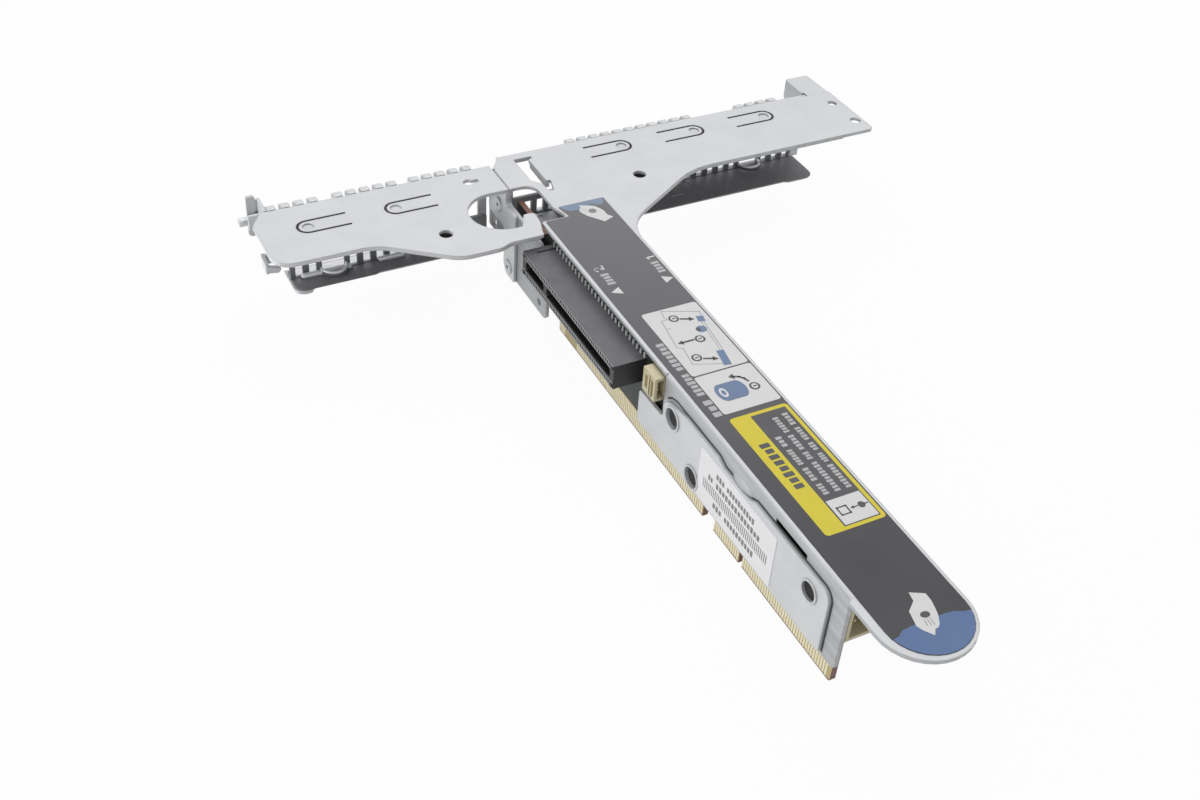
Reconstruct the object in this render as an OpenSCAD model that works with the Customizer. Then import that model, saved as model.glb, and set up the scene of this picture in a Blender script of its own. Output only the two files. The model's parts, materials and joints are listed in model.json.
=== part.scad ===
// Riser cage of a one-unit rack server: a folded sheet-metal bracket in the shape of a T,
// whose arm carries an upright riser board and whose crossbar frames two card bays.
// Axes: +X runs to the full-height bay, +Y to the rear of the server, +Z up.
// The origin lies on the riser board's lower edge, in the middle of its edge contacts.

/* [Cage] */
// Reach of the full-height half, from the riser board to its end
right_reach = 119.5; // [118:0.5:125]
// Reach of the low-profile half, from the riser board to its end
left_reach = 76.8; // [76:0.4:82]
// Depth of the full-height half's top plate
right_depth = 28; // [27:0.5:32]
// Depth of the low-profile half's top plate at its outer end
left_depth = 27.9; // [27:0.3:30]
// How far the low-profile half's rear edge stands forward of the other half's
rear_step = 3.5; // [3:0.1:4]
// Length from the rear edge to the round end of the arm
cage_length = 214.6; // [212:1:228]
// Distance of the arm's right edge from the middle of the riser board
arm_right = 21.1; // [20:0.5:24]
// Height from the board's lower edge to the top face
cage_height = 29.6; // [29:0.2:31]

/* [Bays] */
// Clear height of both card bays
bay_height = 20.6; // [20:0.1:21.4]
// Depth of the shelf under each bay
shelf_depth = 14.8; // [13:0.2:16]
// Distance between the middles of the vent slots
vent_pitch = 4.1; // [3.9:0.1:4.3]
// Width of a vent slot
vent_width = 2.3; // [1.6:0.1:2.6]
// Distance between the middles of the gasket fingers
finger_pitch = 4.1; // [3.9:0.1:4.3]

/* [Sheet metal] */
// Thickness of the folded sheet
sheet = 1; // [0.8:0.1:1.2]
// Height of the down-turned lip on the front edges, sheet included
lip_height = 1.3; // [1.3:0.1:2.6]
// Outer radius of a fold
fold_radius = 1.2; // [0.8:0.1:1.4]
// Diameter of the finger opening between the two halves
grip_diameter = 19.2; // [18:0.2:20]

/* [Riser board] */
// Thickness of the riser board
board_t = 1.6; // [1.4:0.1:1.8]
// Where the board ends, measured forward from the rear edge
board_end = 191; // [190:1:196]
// Distance between neighbouring edge contacts
contact_pitch = 1; // [0.9:0.05:1.1]
// How far the card sockets stand off the board
socket_depth = 9.1; // [8.6:0.1:11.2]
// Width of a card socket, across its slot
socket_width = 7.4; // [7.2:0.1:7.6]

/* [Hidden] */
$fn = 32;
EPS = 0.01;

// Cage frame: x from the board's middle plane, y from the rear edge, z from the top face.
face_x = board_t / 2;
fold_x = -(face_x + sheet);
plate_x = fold_x - sheet;
contacts_start = 50;
rear_y = (contacts_start + board_end) / 2;

// Walls between the bays
wall_gap = 1.6;
seam_x = -(face_x + wall_gap + sheet);
seam_end = -6.6;
seam_clearance = 0.2;
wall_lap_x = seam_x - sheet;
wall_foot_z = -(cage_height - 1);
wall_step_z = -5.2;
wall_tip_y = -46;
wall_rear_y = -17.8;

// Shelves
bay_lintel = -3.2;
shelf_top = -(sheet + bay_height);
shelf_jog = 0.7;
film_t = 0.25;
film_margin = 0.8;
film_overhang = 1;
right_wall_end = right_reach - 8.9;
right_shelf_end = right_reach - 11.1;
left_wall_end = -(left_reach - 9.1);
cover_clearance = 0.3;

// Arm
arm_end = -cage_length;
arm_left = plate_x;
// Slant between the crossbar and the arm: its run in X and in Y
neck = [31.6, 19.7];
strip_end = -37.8;
flange_start = -101;
flange_rear = -111.4;
flange_end = -(board_end + 1.5);

// Finger opening
grip_top = -18.6;
grip_mid_y = grip_top - grip_diameter / 2;
grip_left = -19.4;
grip_right = 4.5;

// Riser board
board_top = -(sheet + 0.6);
board_start = -19.2;
board_rear_top = -4.2;
board_rear_foot = -20;
contact_height = 5.6;
contact_t = 0.1;

// Card sockets
socket_start = -43.4;
socket_z = -4.2;
x8_length = 56;
x16_length = 89;
slot_width = 1.75;
slot_depth = 7.2;
first_slot = 11.65;
key_length = 1.9;

function unit(v) = v / norm(v);

// One corner of a closed outline: b is [x, y, radius] between its neighbours a and c.
function corner(a, b, c, steps) =
    let (p = [b.x, b.y], u = unit([a.x, a.y] - p), v = unit([c.x, c.y] - p),
         half = acos(u * v) / 2)
    b.z == 0 ? [p] :
    let (mid = p + unit(u + v) * b.z / sin(half),
         from = p + u * b.z / tan(half) - mid,
         to = p + v * b.z / tan(half) - mid,
         start = atan2(from.y, from.x),
         sweep = (atan2(to.y, to.x) - start + 540) % 360 - 180)
    [for (k = [0:steps]) mid + b.z * [cos(start + sweep * k / steps), sin(start + sweep * k / steps)]];

// Closed outline with its corners rounded to the radius each point holds.
module rounded(points, steps = 8) {
    n = len(points);
    polygon([for (i = [0:n - 1])
        for (q = corner(points[(i + n - 1) % n], points[i], points[(i + 1) % n], steps)) q]);
}

module cage() translate([0, rear_y, cage_height]) children();

// Level sheet: its outline is drawn in X and Y, its lower face is at z.
module level(z, t = sheet) translate([0, 0, z]) linear_extrude(t) children();

// Upright sheet across the cage: its outline is drawn in X and Z, its front face is at y.
module across(y, t = sheet) translate([0, y + t, 0]) rotate([90, 0, 0]) linear_extrude(t) children();

// Upright sheet along the arm: its outline is drawn in Y and Z, its left face is at x.
module along(x, t = sheet) translate([x, 0, 0]) rotate([90, 0, 90]) linear_extrude(t) children();

module box(lo, hi) translate(lo) cube(hi - lo);

// Rectangle between two corners
module rect(lo, hi) translate(lo) square(hi - lo);

// Removes the sharp outer corner of a fold on the top face that runs along X, at y.
module fold_along_x(from, to, y) difference() {
    box([from - EPS, y - fold_radius, -fold_radius], [to + EPS, y + EPS, EPS]);
    translate([from - 1, y - fold_radius, -fold_radius]) rotate([0, 90, 0])
        cylinder(r = fold_radius, h = to - from + 2);
}

// Removes the sharp outer corner of a fold on the top face that runs along Y, at x, left side out.
module fold_along_y(from, to, x) difference() {
    box([x - EPS, from - EPS, -fold_radius], [x + fold_radius, to + EPS, EPS]);
    translate([x + fold_radius, from - 1, -fold_radius]) rotate([-90, 0, 0])
        cylinder(r = fold_radius, h = to - from + 2);
}

// U-shaped cut that frees a spring tongue; its round tip is at the origin and points to +X.
tongue_length = 15;
tongue_height = 6.6;
tongue_cut = 0.75;
module tongue_cut_out() {
    inner = tongue_height - 2 * tongue_cut;
    difference() {
        union() {
            translate([-tongue_height / 2, 0]) circle(d = tongue_height);
            rect([-tongue_length, -tongue_height / 2], [-tongue_height / 2, tongue_height / 2]);
        }
        translate([-tongue_height / 2, 0]) circle(d = inner);
        rect([-tongue_length - 1, -inner / 2], [-tongue_height / 2, inner / 2]);
    }
}

tongue_spacing = 25.7;
tongue_pocket_depth = 0.35;
module tongue_pocket() translate([-tongue_height / 2, 0]) circle(d = 3.2);

// ---------------------------------------------------------------- main bracket
right_tongues = [for (i = [0:2]) [42.2 + i * tongue_spacing, -8.2]];
ear_width = 8.8;
ear_length = 10.9;
ear_drop = 0.35;

module main_outline() rounded([
    [0.6, 0, 0.4],
    [right_reach - ear_width, 0, 0.6],
    [right_reach - ear_width, ear_length, 1],
    [right_reach - 0.4, ear_length, 1],
    [right_reach, 0, 0.5],
    [right_reach, -right_depth, 1.6],
    [arm_right + neck.x, -right_depth, 24],
    [arm_right, -right_depth - neck.y, 16],
    [arm_right, arm_end, (arm_right - arm_left) / 2 - EPS],
    [arm_left, arm_end, (arm_right - arm_left) / 2 - EPS],
    [arm_left, flange_end - 0.8, 0.6],
    [fold_x, flange_end, 0],
    [fold_x, strip_end, 0.8],
    [grip_right + 1.8, strip_end, 0.8],
    [grip_right, strip_end + 6, 3],
    [grip_right, grip_top, 4],
    [seam_x, grip_top, 0],
    [seam_x, seam_end, 0],
    [-1, -3.4, 0]
]);

ear_holes = [[-3.4, -9.2, 1.5], [-2.7, -21.5, 1.75]];
tab_x = 8.9;
tab_y = [-18.2, -5.7];
module main_cut_outs() {
    for (p = right_tongues) translate(p) tongue_cut_out();
    for (h = ear_holes) translate([right_reach + h.x, h.y]) circle(r = h.z);
    translate([36.3, -25.2]) circle(r = 1.95);
    // Cut-out round the stop tab, which is folded down from its right edge
    rounded([[4.6, -3.9, 0.4], [tab_x + 1.4, -3.9, 0.3], [tab_x + 1.4, -4.9, 0.3], [tab_x, tab_y[1] + 0.3, 0],
             [tab_x, tab_y[0], 0], [tab_x + 1.3, tab_y[0], 0.3], [tab_x, -23.6, 0.5],
             [tab_x - 1.5, -23.2, 0.5], [tab_x - 2, -19, 0.5], [4.6, -16.6, 1]], 4);
    // Relief notch at the ear's root
    rect([right_reach - ear_width - 0.7, -1.7], [right_reach - ear_width + 0.9, 0.7]);
}

// Down-turned lip along the front edge and the neck
module main_lip() intersection() {
    difference() {
        main_outline();
        offset(delta = -sheet) main_outline();
    }
    union() {
        rect([arm_right + neck.x, -right_depth - 1], [right_reach - 11.5, -right_depth + 6 * sheet]);
        rect([arm_right - 2, -right_depth - neck.y - 4], [arm_right + neck.x + 1, -right_depth + 6 * sheet]);
    }
}

// Shelf of the full-height bay, whose outer end reaches a little further forward
module right_shelf_outline(inner, outer, depth) rounded([
    [inner, 0, 0],
    [outer, 0, 1.4],
    [outer, -depth - shelf_jog, 3],
    [outer - 9.5, -depth - shelf_jog, 0.8],
    [outer - 11, -depth, 0.8],
    [inner, -depth, 0.5]
]);

bay_1 = [6, right_shelf_end - 1];
module main_rear_wall() difference() {
    union() {
        rect([0.6, shelf_top - sheet], [right_shelf_end - 1.4, 0]);
        rect([0.6, -19.4], [right_wall_end, 0]);
    }
    rect([bay_1[0], shelf_top], [bay_1[1], bay_lintel]);
}

// Wall that hangs from the seam edge, between the bays, and reaches down in front of the board
module main_inner_wall() difference() {
    rounded([
        [seam_end, 0, 0], [grip_top, 0, 0], [grip_top, wall_step_z, 1.2], [strip_end - 4, wall_step_z, 1.5],
        [strip_end - 4, -14, 1], [wall_tip_y, -14.5, 1], [wall_tip_y, wall_foot_z, 1.8],
        [wall_rear_y, wall_foot_z, 2], [wall_rear_y, -20, 1], [-4.6, -20, 0.5], [-4.6, -7.5, 0.8],
        [seam_end, -7.5, 0]
    ]);
    for (r = wall_rivets_at) translate(r) circle(r = rivet_r);
    translate([-41.2, wall_foot_z + 3.4]) circle(r = 1.1);
    rect([-10, -19], [-7.2, -15.4]);
}

// Flange folded down from the arm's left edge; the board is fixed to its inner face
flange_foot = -23.6;
side_hole_r = 2.9;
side_holes = [[-118, -9.1, side_hole_r], [-129.5, -19.2, side_hole_r], [-180.4, -9.4, 2.5]];
module main_flange() difference() {
    rounded([
        [flange_end, 0, 0], [flange_end, flange_foot, 1.5], [flange_rear, flange_foot, 2], [flange_rear, 0, 0]
    ]);
    rect([-176.3, -6], [-163.6, -2.5]);
    for (h = side_holes) translate([h.x, h.y]) circle(r = h.z);
}

module main_bracket() color("silver") cage() difference() {
    union() {
        level(-sheet) difference() {
            main_outline();
            main_cut_outs();
        }
        level(-lip_height, lip_height - sheet + EPS) main_lip();
        across(-sheet) main_rear_wall();
        level(shelf_top - sheet) difference() {
            right_shelf_outline(2, right_shelf_end, shelf_depth);
            translate([14, -4.9]) circle(r = 0.8);
        }
        along(seam_x) main_inner_wall();
        along(fold_x) main_flange();
        // Stop tab beside the square cut-out, and the ear's folded edge
        along(tab_x) rounded([
            [tab_y[0], 0, 0], [tab_y[0], -2.6, 0.6], [tab_y[1] - 0.9, -2.3, 0.8], [tab_y[1], 0, 0]
        ]);
        along(right_reach - ear_width) rounded([
            [0.9, 0, 0], [ear_length - 0.4, 0, 0], [ear_length - 0.4, -6.8, 1], [0.9, -6.8, 1]
        ]);
        // Small stop under the front edge
        box([right_reach - 31.4, -right_depth, -3.4], [right_reach - 28.7, -right_depth + sheet, 0]);
    }
    // The ear lies a little below the plate
    box([right_reach - ear_width - 1, -1.9, -ear_drop], [right_reach + 1, ear_length + 1, 1]);
    fold_along_x(0.6, right_reach - ear_width, 0);
    fold_along_y(grip_top, seam_end, seam_x);
    fold_along_y(flange_end, flange_rear, fold_x);
    for (p = right_tongues) level(-tongue_pocket_depth) translate(p) tongue_pocket();
}

// ---------------------------------------------------------------- low-profile bracket
left_tongues = [for (i = [0:1]) [-66.1 + i * tongue_spacing, -15.8]];
left_front = -(rear_step + left_depth);
seam_edge = seam_x - seam_clearance;
strip_front = -43.9;
belly_front = -45.5;

module left_outline() rounded([
    [seam_edge, -rear_step, 0],
    [-left_reach + 4.3, -rear_step, 0.6],
    [-left_reach, -rear_step - 6.6, 1.5],
    [-left_reach, left_front, 6],
    [-48.6, left_front, 14],
    [-29.2, belly_front, 10],
    [-17.5, belly_front, 5],
    [-13.5, strip_front, 5],
    [seam_edge, strip_front, 0.6]
]);

// Tongue at the strip's inner end, which covers the board's rear corner
module inner_tongue() rounded([
    [-8, strip_end - 0.6, 0], [-4.9, -32.4, 0.6], [-1.5, -32.4, 1.2], [-2.1, strip_end - 0.2, 0.6],
    [seam_edge - 0.4, strip_front, 0.6], [-8, strip_front, 0]
]);

module finger_opening() {
    radius = grip_diameter / 2;
    translate([grip_left + radius, grip_mid_y]) circle(r = radius, $fn = 48);
    rect([grip_left + radius, grip_mid_y - radius], [0, grip_top]);
}

module left_top() difference() {
    left_outline();
    left_cut_outs();
}

module left_cut_outs() {
    for (p = left_tongues) translate(p) mirror([1, 0]) tongue_cut_out();
    translate([-28.9, -33.4]) circle(r = 1.95);
    translate([-12.8, -10.7]) circle(r = 1.5);
    rect([-12.8, -11.5], [-9.6, -9.9]);
    finger_opening();
}

module left_lip() intersection() {
    difference() {
        left_outline();
        offset(delta = -sheet) left_outline();
    }
    rect([-left_reach - 1, belly_front - 1], [seam_edge - 1, left_front + 6]);
}

// Ear that reaches past the rear edge and carries the guide pin
ear_web_x = -left_reach + 4.9;
ear_reach = 4;
module left_ear() {
    along(ear_web_x) rect([-rear_step - sheet, -9], [ear_reach, -0.4]);
    across(ear_reach - sheet) rounded([
        [-left_reach + 1.7, -12, 1.2], [-left_reach + 1.9, 1, 0.5], [ear_web_x - 0.7, 1, 0.5],
        [ear_web_x + sheet, -5, 1], [ear_web_x + sheet, -9, 1], [-left_reach + 3.6, -12, 1]
    ]);
}

// Clip folded forward and inward from the rear wall's outer end
clip_x = -left_reach + 2.8;
clip_y = -8.5;
clip_top = -14.1;
clip_foot = -18.4;
module left_clip() {
    along(clip_x) rounded([
        [-rear_step, clip_top, 0], [clip_y, clip_top - 1.2, 0.5], [clip_y, clip_foot, 0.6],
        [-rear_step, clip_foot + 0.9, 0]
    ]);
    across(clip_y) rounded([
        [clip_x + 0.2, clip_top - 1.3, 0], [clip_x + 4.6, clip_top - 2.7, 0.5],
        [clip_x + 3.6, clip_foot + 0.1, 0.5], [clip_x + 0.2, clip_foot + 0.7, 0]
    ]);
}

bay_2 = [left_wall_end + 1.4, -7.1];
module left_rear_wall() difference() {
    union() {
        rect([left_wall_end + 1.4, shelf_top - sheet], [wall_lap_x, 0]);
        rect([left_wall_end, -19.5], [wall_lap_x, 0]);
        rect([clip_x, clip_foot + 1.1], [left_wall_end + 1, clip_top - 0.2]);
        // Rounded outer end beside the top plate's corner
        rounded([
            [-left_reach + 0.4, -sheet / 2, 0], [-left_reach + 0.4, -6.4, 1.6],
            [left_wall_end + 1, -6.4, 0], [left_wall_end + 1, -sheet / 2, 0]
        ]);
    }
    rect([bay_2[0], shelf_top], [bay_2[1], bay_lintel]);
}

wall_rivets_at = [[-13.8, -7.6], [-21.6, wall_foot_z + 3.6]];
rivet_r = 1.25;

// Flange folded down at the seam; two rivets hold it against the main bracket's inner wall
module left_inner_flange() difference() {
    rounded([
        [seam_end, 0, 0], [grip_top, 0, 0], [grip_top, wall_step_z, 1.2], [-25.4, wall_step_z, 1.2],
        [-25.4, wall_foot_z, 0.5], [wall_rear_y, wall_foot_z, 3.6], [wall_rear_y, -13, 1], [seam_end, -13, 1]
    ]);
    for (r = wall_rivets_at) translate(r) circle(r = rivet_r);
}

module low_profile_bracket() color("lightgray") cage() difference() {
    union() {
        level(-sheet) {
            left_top();
            inner_tongue();
        }
        level(-lip_height, lip_height - sheet + EPS) left_lip();
        across(-rear_step - sheet) left_rear_wall();
        level(shelf_top - sheet) left_shelf_outline();
        left_ear();
        left_clip();
        along(wall_lap_x) left_inner_flange();
        box([wall_lap_x, grip_top, -sheet], [seam_edge, seam_end, 0]);
    }
    fold_along_x(-left_reach + 4, seam_edge, -rear_step);
    for (p = left_tongues) level(-tongue_pocket_depth) translate(p) mirror([1, 0]) tongue_pocket();
}

// Shelf of the low-profile bay; its outer front corner reaches further forward by the nose
left_shelf_front = -shelf_depth + 1.2;
left_shelf_nose = 2;
module left_shelf_outline() rounded([
    [wall_lap_x, -rear_step, 0],
    [left_wall_end, -rear_step, 0],
    [left_wall_end, left_shelf_front - left_shelf_nose, 3],
    [left_wall_end + 4.5, left_shelf_front - left_shelf_nose, 0.8],
    [left_wall_end + 6, left_shelf_front, 0.8],
    [wall_lap_x, left_shelf_front, 0.5]
]);

// ---------------------------------------------------------------- side plate
side_plate_top = -4.2;
side_plate_foot = -22.7;
side_plate_end = -187.2;
side_plate_dip = 1.2;
rim_width = 0.55;
rim_height = 0.35;
module side_plate_outline() rounded([
    [flange_start, -12.6, 1], [flange_start - 12.4, -12.2, 1.5], [flange_start - 12.4, side_plate_top - 2, 3],
    [-124, side_plate_top, 8], [-139.4, side_plate_top, 2], [-142, side_plate_top - side_plate_dip, 3],
    [-153.6, side_plate_top - side_plate_dip, 3], [-156.2, side_plate_top, 2],
    [side_plate_end, side_plate_top, 3], [side_plate_end, side_plate_foot, 1],
    [flange_start, side_plate_foot, 1]
]);

module side_plate() color("gainsboro") cage() difference() {
    union() {
        along(plate_x) side_plate_outline();
        // Burred rims of the three holes
        along(plate_x - rim_height, rim_height + EPS) for (h = side_holes)
            translate([h.x, h.y]) circle(r = h.z + rim_width);
    }
    along(plate_x - 1, sheet + 2) for (h = side_holes) translate([h.x, h.y]) circle(r = h.z);
}

// ---------------------------------------------------------------- covers of the two bays
// Vent slots either side of the pull loop at loop_x, within the given range
vent_sill = shelf_top + film_t + 0.25;
loop_width = 6.9;
module vents(from, to, loop_x, vent_top) {
    reach = 1.5 * vent_pitch;
    for (side = [-1, 1]) {
        room = (side > 0 ? to - loop_x : loop_x - from) - reach - vent_width / 2;
        for (i = [0:floor(room / vent_pitch)]) translate([loop_x + side * (reach + i * vent_pitch), 0])
            rect([-vent_width / 2, vent_sill], [vent_width / 2, vent_top]);
    }
    rect([loop_x - loop_width / 2, vent_sill], [loop_x + loop_width / 2, vent_top]);
}

// Half-ring pull loop that stands forward of a cover
loop_t = 0.8;
module pull_loop(x, y) level(vent_sill + 0.3, 1.1) translate([x, y]) intersection() {
    difference() {
        circle(r = loop_width / 2 + loop_t);
        circle(r = loop_width / 2);
    }
    rect([-loop_width, -loop_width], [loop_width, EPS]);
}

loop_1_x = 90.3;
loop_2_x = -54.4;
cover_t = 1;
cover_lap = 1;
cover_1_bend = 19;
cover_2_bend = -17;
// How far each cover stands forward of its wall
cover_1_stand = 1;
cover_2_stand = 3.3;

// Plate over a bay's rear opening from outer to the bend, and a lower strip from there to inner
module cover_plate(outer, bend, inner, strip) {
    foot = shelf_top + film_t;
    head = -sheet - cover_clearance;
    rounded([[outer, foot, 0.5], [outer, head, 1], [bend, head, 1], [bend, foot, 0.5]]);
    rounded([[outer, foot, 0.5], [outer, strip, 0.5], [inner, strip, 0.5], [inner, foot, 0.5]]);
}

// Return at a cover's outer end, which is folded back from y to the wall at wall_y
module cover_return(x, y, wall_y) along(x, cover_t) rect([y + cover_t / 2, shelf_top + 6], [wall_y, -5]);

module slot_1_cover() color("darkgray") cage() {
    outer = bay_1[1] - 0.6;
    y = -sheet - cover_t - cover_1_stand;
    across(y, cover_t) difference() {
        cover_plate(outer, cover_1_bend, bay_1[0] - 2, shelf_top + 7.1);
        vents(bay_1[0] + 3, bay_1[1] - 1, loop_1_x, shelf_top + 5.2);
    }
    cover_return(outer - cover_t - 0.1, y, -sheet / 2);
    pull_loop(loop_1_x, y);
}

// Foot folded forward from a cover, with a bead along its front edge
foot_t = 0.2;
bead_height = 0.85;
bead_depth = 1.4;
bead_slope = 0.3;
module cover_foot(from, to, y) along(from, to - from) translate([y - bead_depth, shelf_top + film_t])
    polygon([
        [0, 0], [bead_slope, bead_height], [bead_depth - 2 * bead_slope, bead_height],
        [bead_depth - bead_slope, foot_t], [bead_depth + 0.1, foot_t], [bead_depth + 0.1, 0]
    ]);

module slot_2_cover() color("darkgray") cage() {
    outer = bay_2[0] - cover_lap;
    y = -rear_step - sheet - cover_t - cover_2_stand;
    across(y, cover_t) difference() {
        cover_plate(outer, cover_2_bend, bay_2[1] + cover_lap, shelf_top + 7.8);
        vents(bay_2[0], bay_2[1] - 1, loop_2_x, shelf_top + 4.2);
    }
    cover_return(outer + 0.1, y, -rear_step - sheet);
    pull_loop(loop_2_x, y);
    cover_foot(loop_2_x - 10.2, loop_2_x + 5.4, y);
    cover_foot(loop_2_x + 13.2, loop_2_x + 21.6, y);
}

// ---------------------------------------------------------------- insulating films on the shelves
film_start = 18.8;
module slot_1_film() color("dimgray") cage() level(shelf_top, film_t) difference() {
    right_shelf_outline(film_start, right_shelf_end - film_margin / 2, shelf_depth + film_overhang);
    rect([0, -sheet], [right_reach, 1]);
}

module slot_2_film() color("dimgray") cage() level(shelf_top, film_t) {
    outer = left_wall_end + film_margin;
    front = left_shelf_front - film_overhang;
    rounded([
        [wall_lap_x, -rear_step - sheet, 0], [outer, -rear_step - sheet, 0],
        [outer, front - shelf_jog, 2.4], [-43.6, front - shelf_jog, 0.6], [-42.3, front, 0.6],
        [wall_lap_x, front, 0.5]
    ]);
}

// ---------------------------------------------------------------- gasket fingers on the rear edges
finger_t = 0.25;
finger_r = 1.7;
finger_width = 2.6;
finger_z = -1.75;
// Row of fingers on the wall whose rear face is at y, from the middle of the first one
module gasket(from, count, y) {
    start = from - finger_width / 2;
    for (i = [0:count - 1]) along(start + i * finger_pitch, finger_width) intersection() {
        translate([y + 0.2, finger_z]) difference() {
            circle(r = finger_r);
            circle(r = finger_r - finger_t);
        }
        rect([y, finger_z - 2 * finger_r], [y + 2 * finger_r, finger_z + 2 * finger_r]);
    }
    // Strip that holds them on the wall
    translate([start, y, finger_z - finger_r - 0.5])
        cube([(count - 1) * finger_pitch + finger_width, finger_t, 0.9]);
}

module slot_1_gasket() color("silver") cage() {
    gasket(25.8, 11, 0);
    gasket(86.6, 4, 0);
}

module slot_2_gasket() color("silver") cage() {
    gasket(-71, 4, -rear_step);
    gasket(-50.2, 5, -rear_step);
    gasket(-27, 5, -rear_step);
}

// ---------------------------------------------------------------- riser board
contact_runs = [[-contacts_start, -54], [-61.5, -133.7], [-139.1, -151.2], [-152.7, -board_end + 0.4]];
notches = [[-133.7, -139.1, 5.5], [-151.2, -152.7, 5]];

module riser_board() color("darkgreen") cage() along(-face_x, board_t) difference() {
    rounded([
        [board_start, board_rear_top, 0.5], [-38, board_rear_top, 1], [-42, board_top, 1],
        [-board_end, board_top, 1], [-board_end, -cage_height, 0.6], [-contacts_start, -cage_height, 0.6],
        [-contacts_start, board_rear_foot, 1], [board_start, board_rear_foot, 1]
    ], 4);
    for (n = notches) rect([n[1], -cage_height - 1], [n[0], -cage_height + n[2]]);
}

module edge_contacts(x) for (run = contact_runs) {
    count = floor((run[0] - run[1]) / contact_pitch);
    for (i = [0:count - 1]) translate([x, run[0] - (i + 0.5) * contact_pitch, -cage_height + 0.5])
        translate([0, -0.35 * contact_pitch, 0]) cube([contact_t, 0.7 * contact_pitch, contact_height]);
}

module left_edge_contacts() color("gold") cage() edge_contacts(-face_x - contact_t);
module right_edge_contacts() color("gold") cage() edge_contacts(face_x);

// Chips on the board's right face, between the socket and the contacts
module board_chips() color("black") cage() {
    translate([face_x, -70, -21.5]) cube([1, 8, 6]);
    translate([face_x, 35 - board_end, -19.5]) cube([1.1, 8, 7]);
    translate([face_x, 21 - board_end, -17.5]) cube([0.9, 5, 4]);
}

// ---------------------------------------------------------------- card sockets
// Socket with its slot to +X, its base at x = 0 and its rear end at y = 0
slot_end = 2;
contact_end = 0.4;
recess = 0.9;
spring_t = 0.35;
spring_width = 0.6;
function slot_runs(length) = [
    [-slot_end, -slot_end - first_slot],
    [-slot_end - first_slot - key_length, -length + slot_end]
];

module socket(length) {
    slot_back = socket_depth - slot_depth;
    slot_foot = -(socket_width + slot_width) / 2;
    difference() {
        box([0, -length, -socket_width], [socket_depth, 0, 0]);
        // The card slot, in two stretches with a key between them
        for (run = slot_runs(length)) {
            box([slot_back, run[1], slot_foot], [socket_depth + 1, run[0], slot_foot + slot_width]);
            // Recesses for the spring contacts, above and below
            for (z = [slot_foot - recess, slot_foot + slot_width])
                box([slot_back, run[1] + contact_end, z],
                    [socket_depth + 1, run[0] - contact_end, z + recess]);
        }
    }
    // Corner posts on the mouth
    for (y = [-1.6, -length + 0.4], z = [-1.5, -socket_width + 0.4])
        box([socket_depth, y, z], [socket_depth + 0.3, y + 1.2, z + 1.1]);
}

// Spring contacts of one socket, a row above and a row below the slot
module socket_contacts(length) for (run = slot_runs(length), row = [-1, 1]) {
    start = run[0] - contact_end;
    count = floor((start - run[1] - contact_end) / contact_pitch);
    z = -socket_width / 2 + row * (slot_width + 2 * recess - spring_t) / 2 - spring_t / 2;
    for (i = [0:count - 1])
        translate([socket_depth - slot_depth, start - (i + 0.5) * contact_pitch - spring_width / 2, z])
            cube([slot_depth - 0.3, spring_width, spring_t]);
}

module on_left() translate([-face_x, socket_start, socket_z]) mirror([1, 0, 0]) children();
module on_right() translate([face_x, socket_start, socket_z]) children();

module slot_1_socket() color("#222222") cage() on_right() socket(x16_length);
module slot_2_socket() color("#222222") cage() on_left() socket(x8_length);
module slot_1_socket_contacts() color("gold") cage() on_right() socket_contacts(x16_length);
module slot_2_socket_contacts() color("gold") cage() on_left() socket_contacts(x8_length);

// Solder tails that stand in a row on the board above each socket
tail_pitch = 2;
module tails(length, x) for (i = [0:floor(length / tail_pitch) - 1])
    box([x, -(i + 0.9) * tail_pitch, 0], [x + 0.35, -(i + 0.9) * tail_pitch + 0.7, 1.5]);

module socket_solder_tails() color("lightgray") cage() {
    translate([0, socket_start, socket_z]) tails(x8_length, -face_x - 0.35);
    translate([0, socket_start, socket_z]) tails(x16_length, face_x);
}

// ---------------------------------------------------------------- headers
// Open header shell with its mouth towards -Y
module header_shell(size, wall) difference() {
    cube(size);
    translate([wall, -1, wall]) cube([size.x - 2 * wall, size.y, size.z - 2 * wall]);
}

side_header_size = [3.6, 6.2, 7.2];
side_header_at = [-face_x - side_header_size.x, -110.9, -8.8];
front_header_size = [8, 9, 11];
front_header_at = [face_x, -board_end, -17];
module side_header() color("tan") cage() translate(side_header_at) header_shell(side_header_size, 0.8);
module front_header() color("tan") cage() translate(front_header_at) header_shell(front_header_size, 1);
module header_pins() color("gold") cage() {
    for (i = [0:1]) translate(side_header_at + [1.6, 1.5, 2.1 + i * 2.5]) cube([0.5, 3.9, 0.5]);
    for (i = [0:2]) translate(front_header_at + [3.8, 2.5, 2.4 + i * 2.7]) cube([0.6, 5.6, 0.6]);
}

// ---------------------------------------------------------------- fasteners
head_r = 2.3;
head_t = 0.5;
module wall_rivets() color("lightgray") cage() for (r = wall_rivets_at) {
    translate([0, r.x, r.y]) rotate([0, 90, 0]) {
        translate([0, 0, wall_lap_x - head_t]) cylinder(r = head_r, h = head_t);
        translate([0, 0, wall_lap_x - EPS]) cylinder(r = rivet_r, h = 2 * sheet + 2 * EPS);
        translate([0, 0, wall_lap_x + 2 * sheet]) cylinder(r = head_r - 0.5, h = head_t);
    }
}

pin_r = 1.3;
pin_length = 6.1;
module guide_pin() color("gray") cage()
    translate([ear_web_x - pin_length, 0.8, -5.2]) rotate([0, 90, 0]) cylinder(r = pin_r, h = pin_length);

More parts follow.
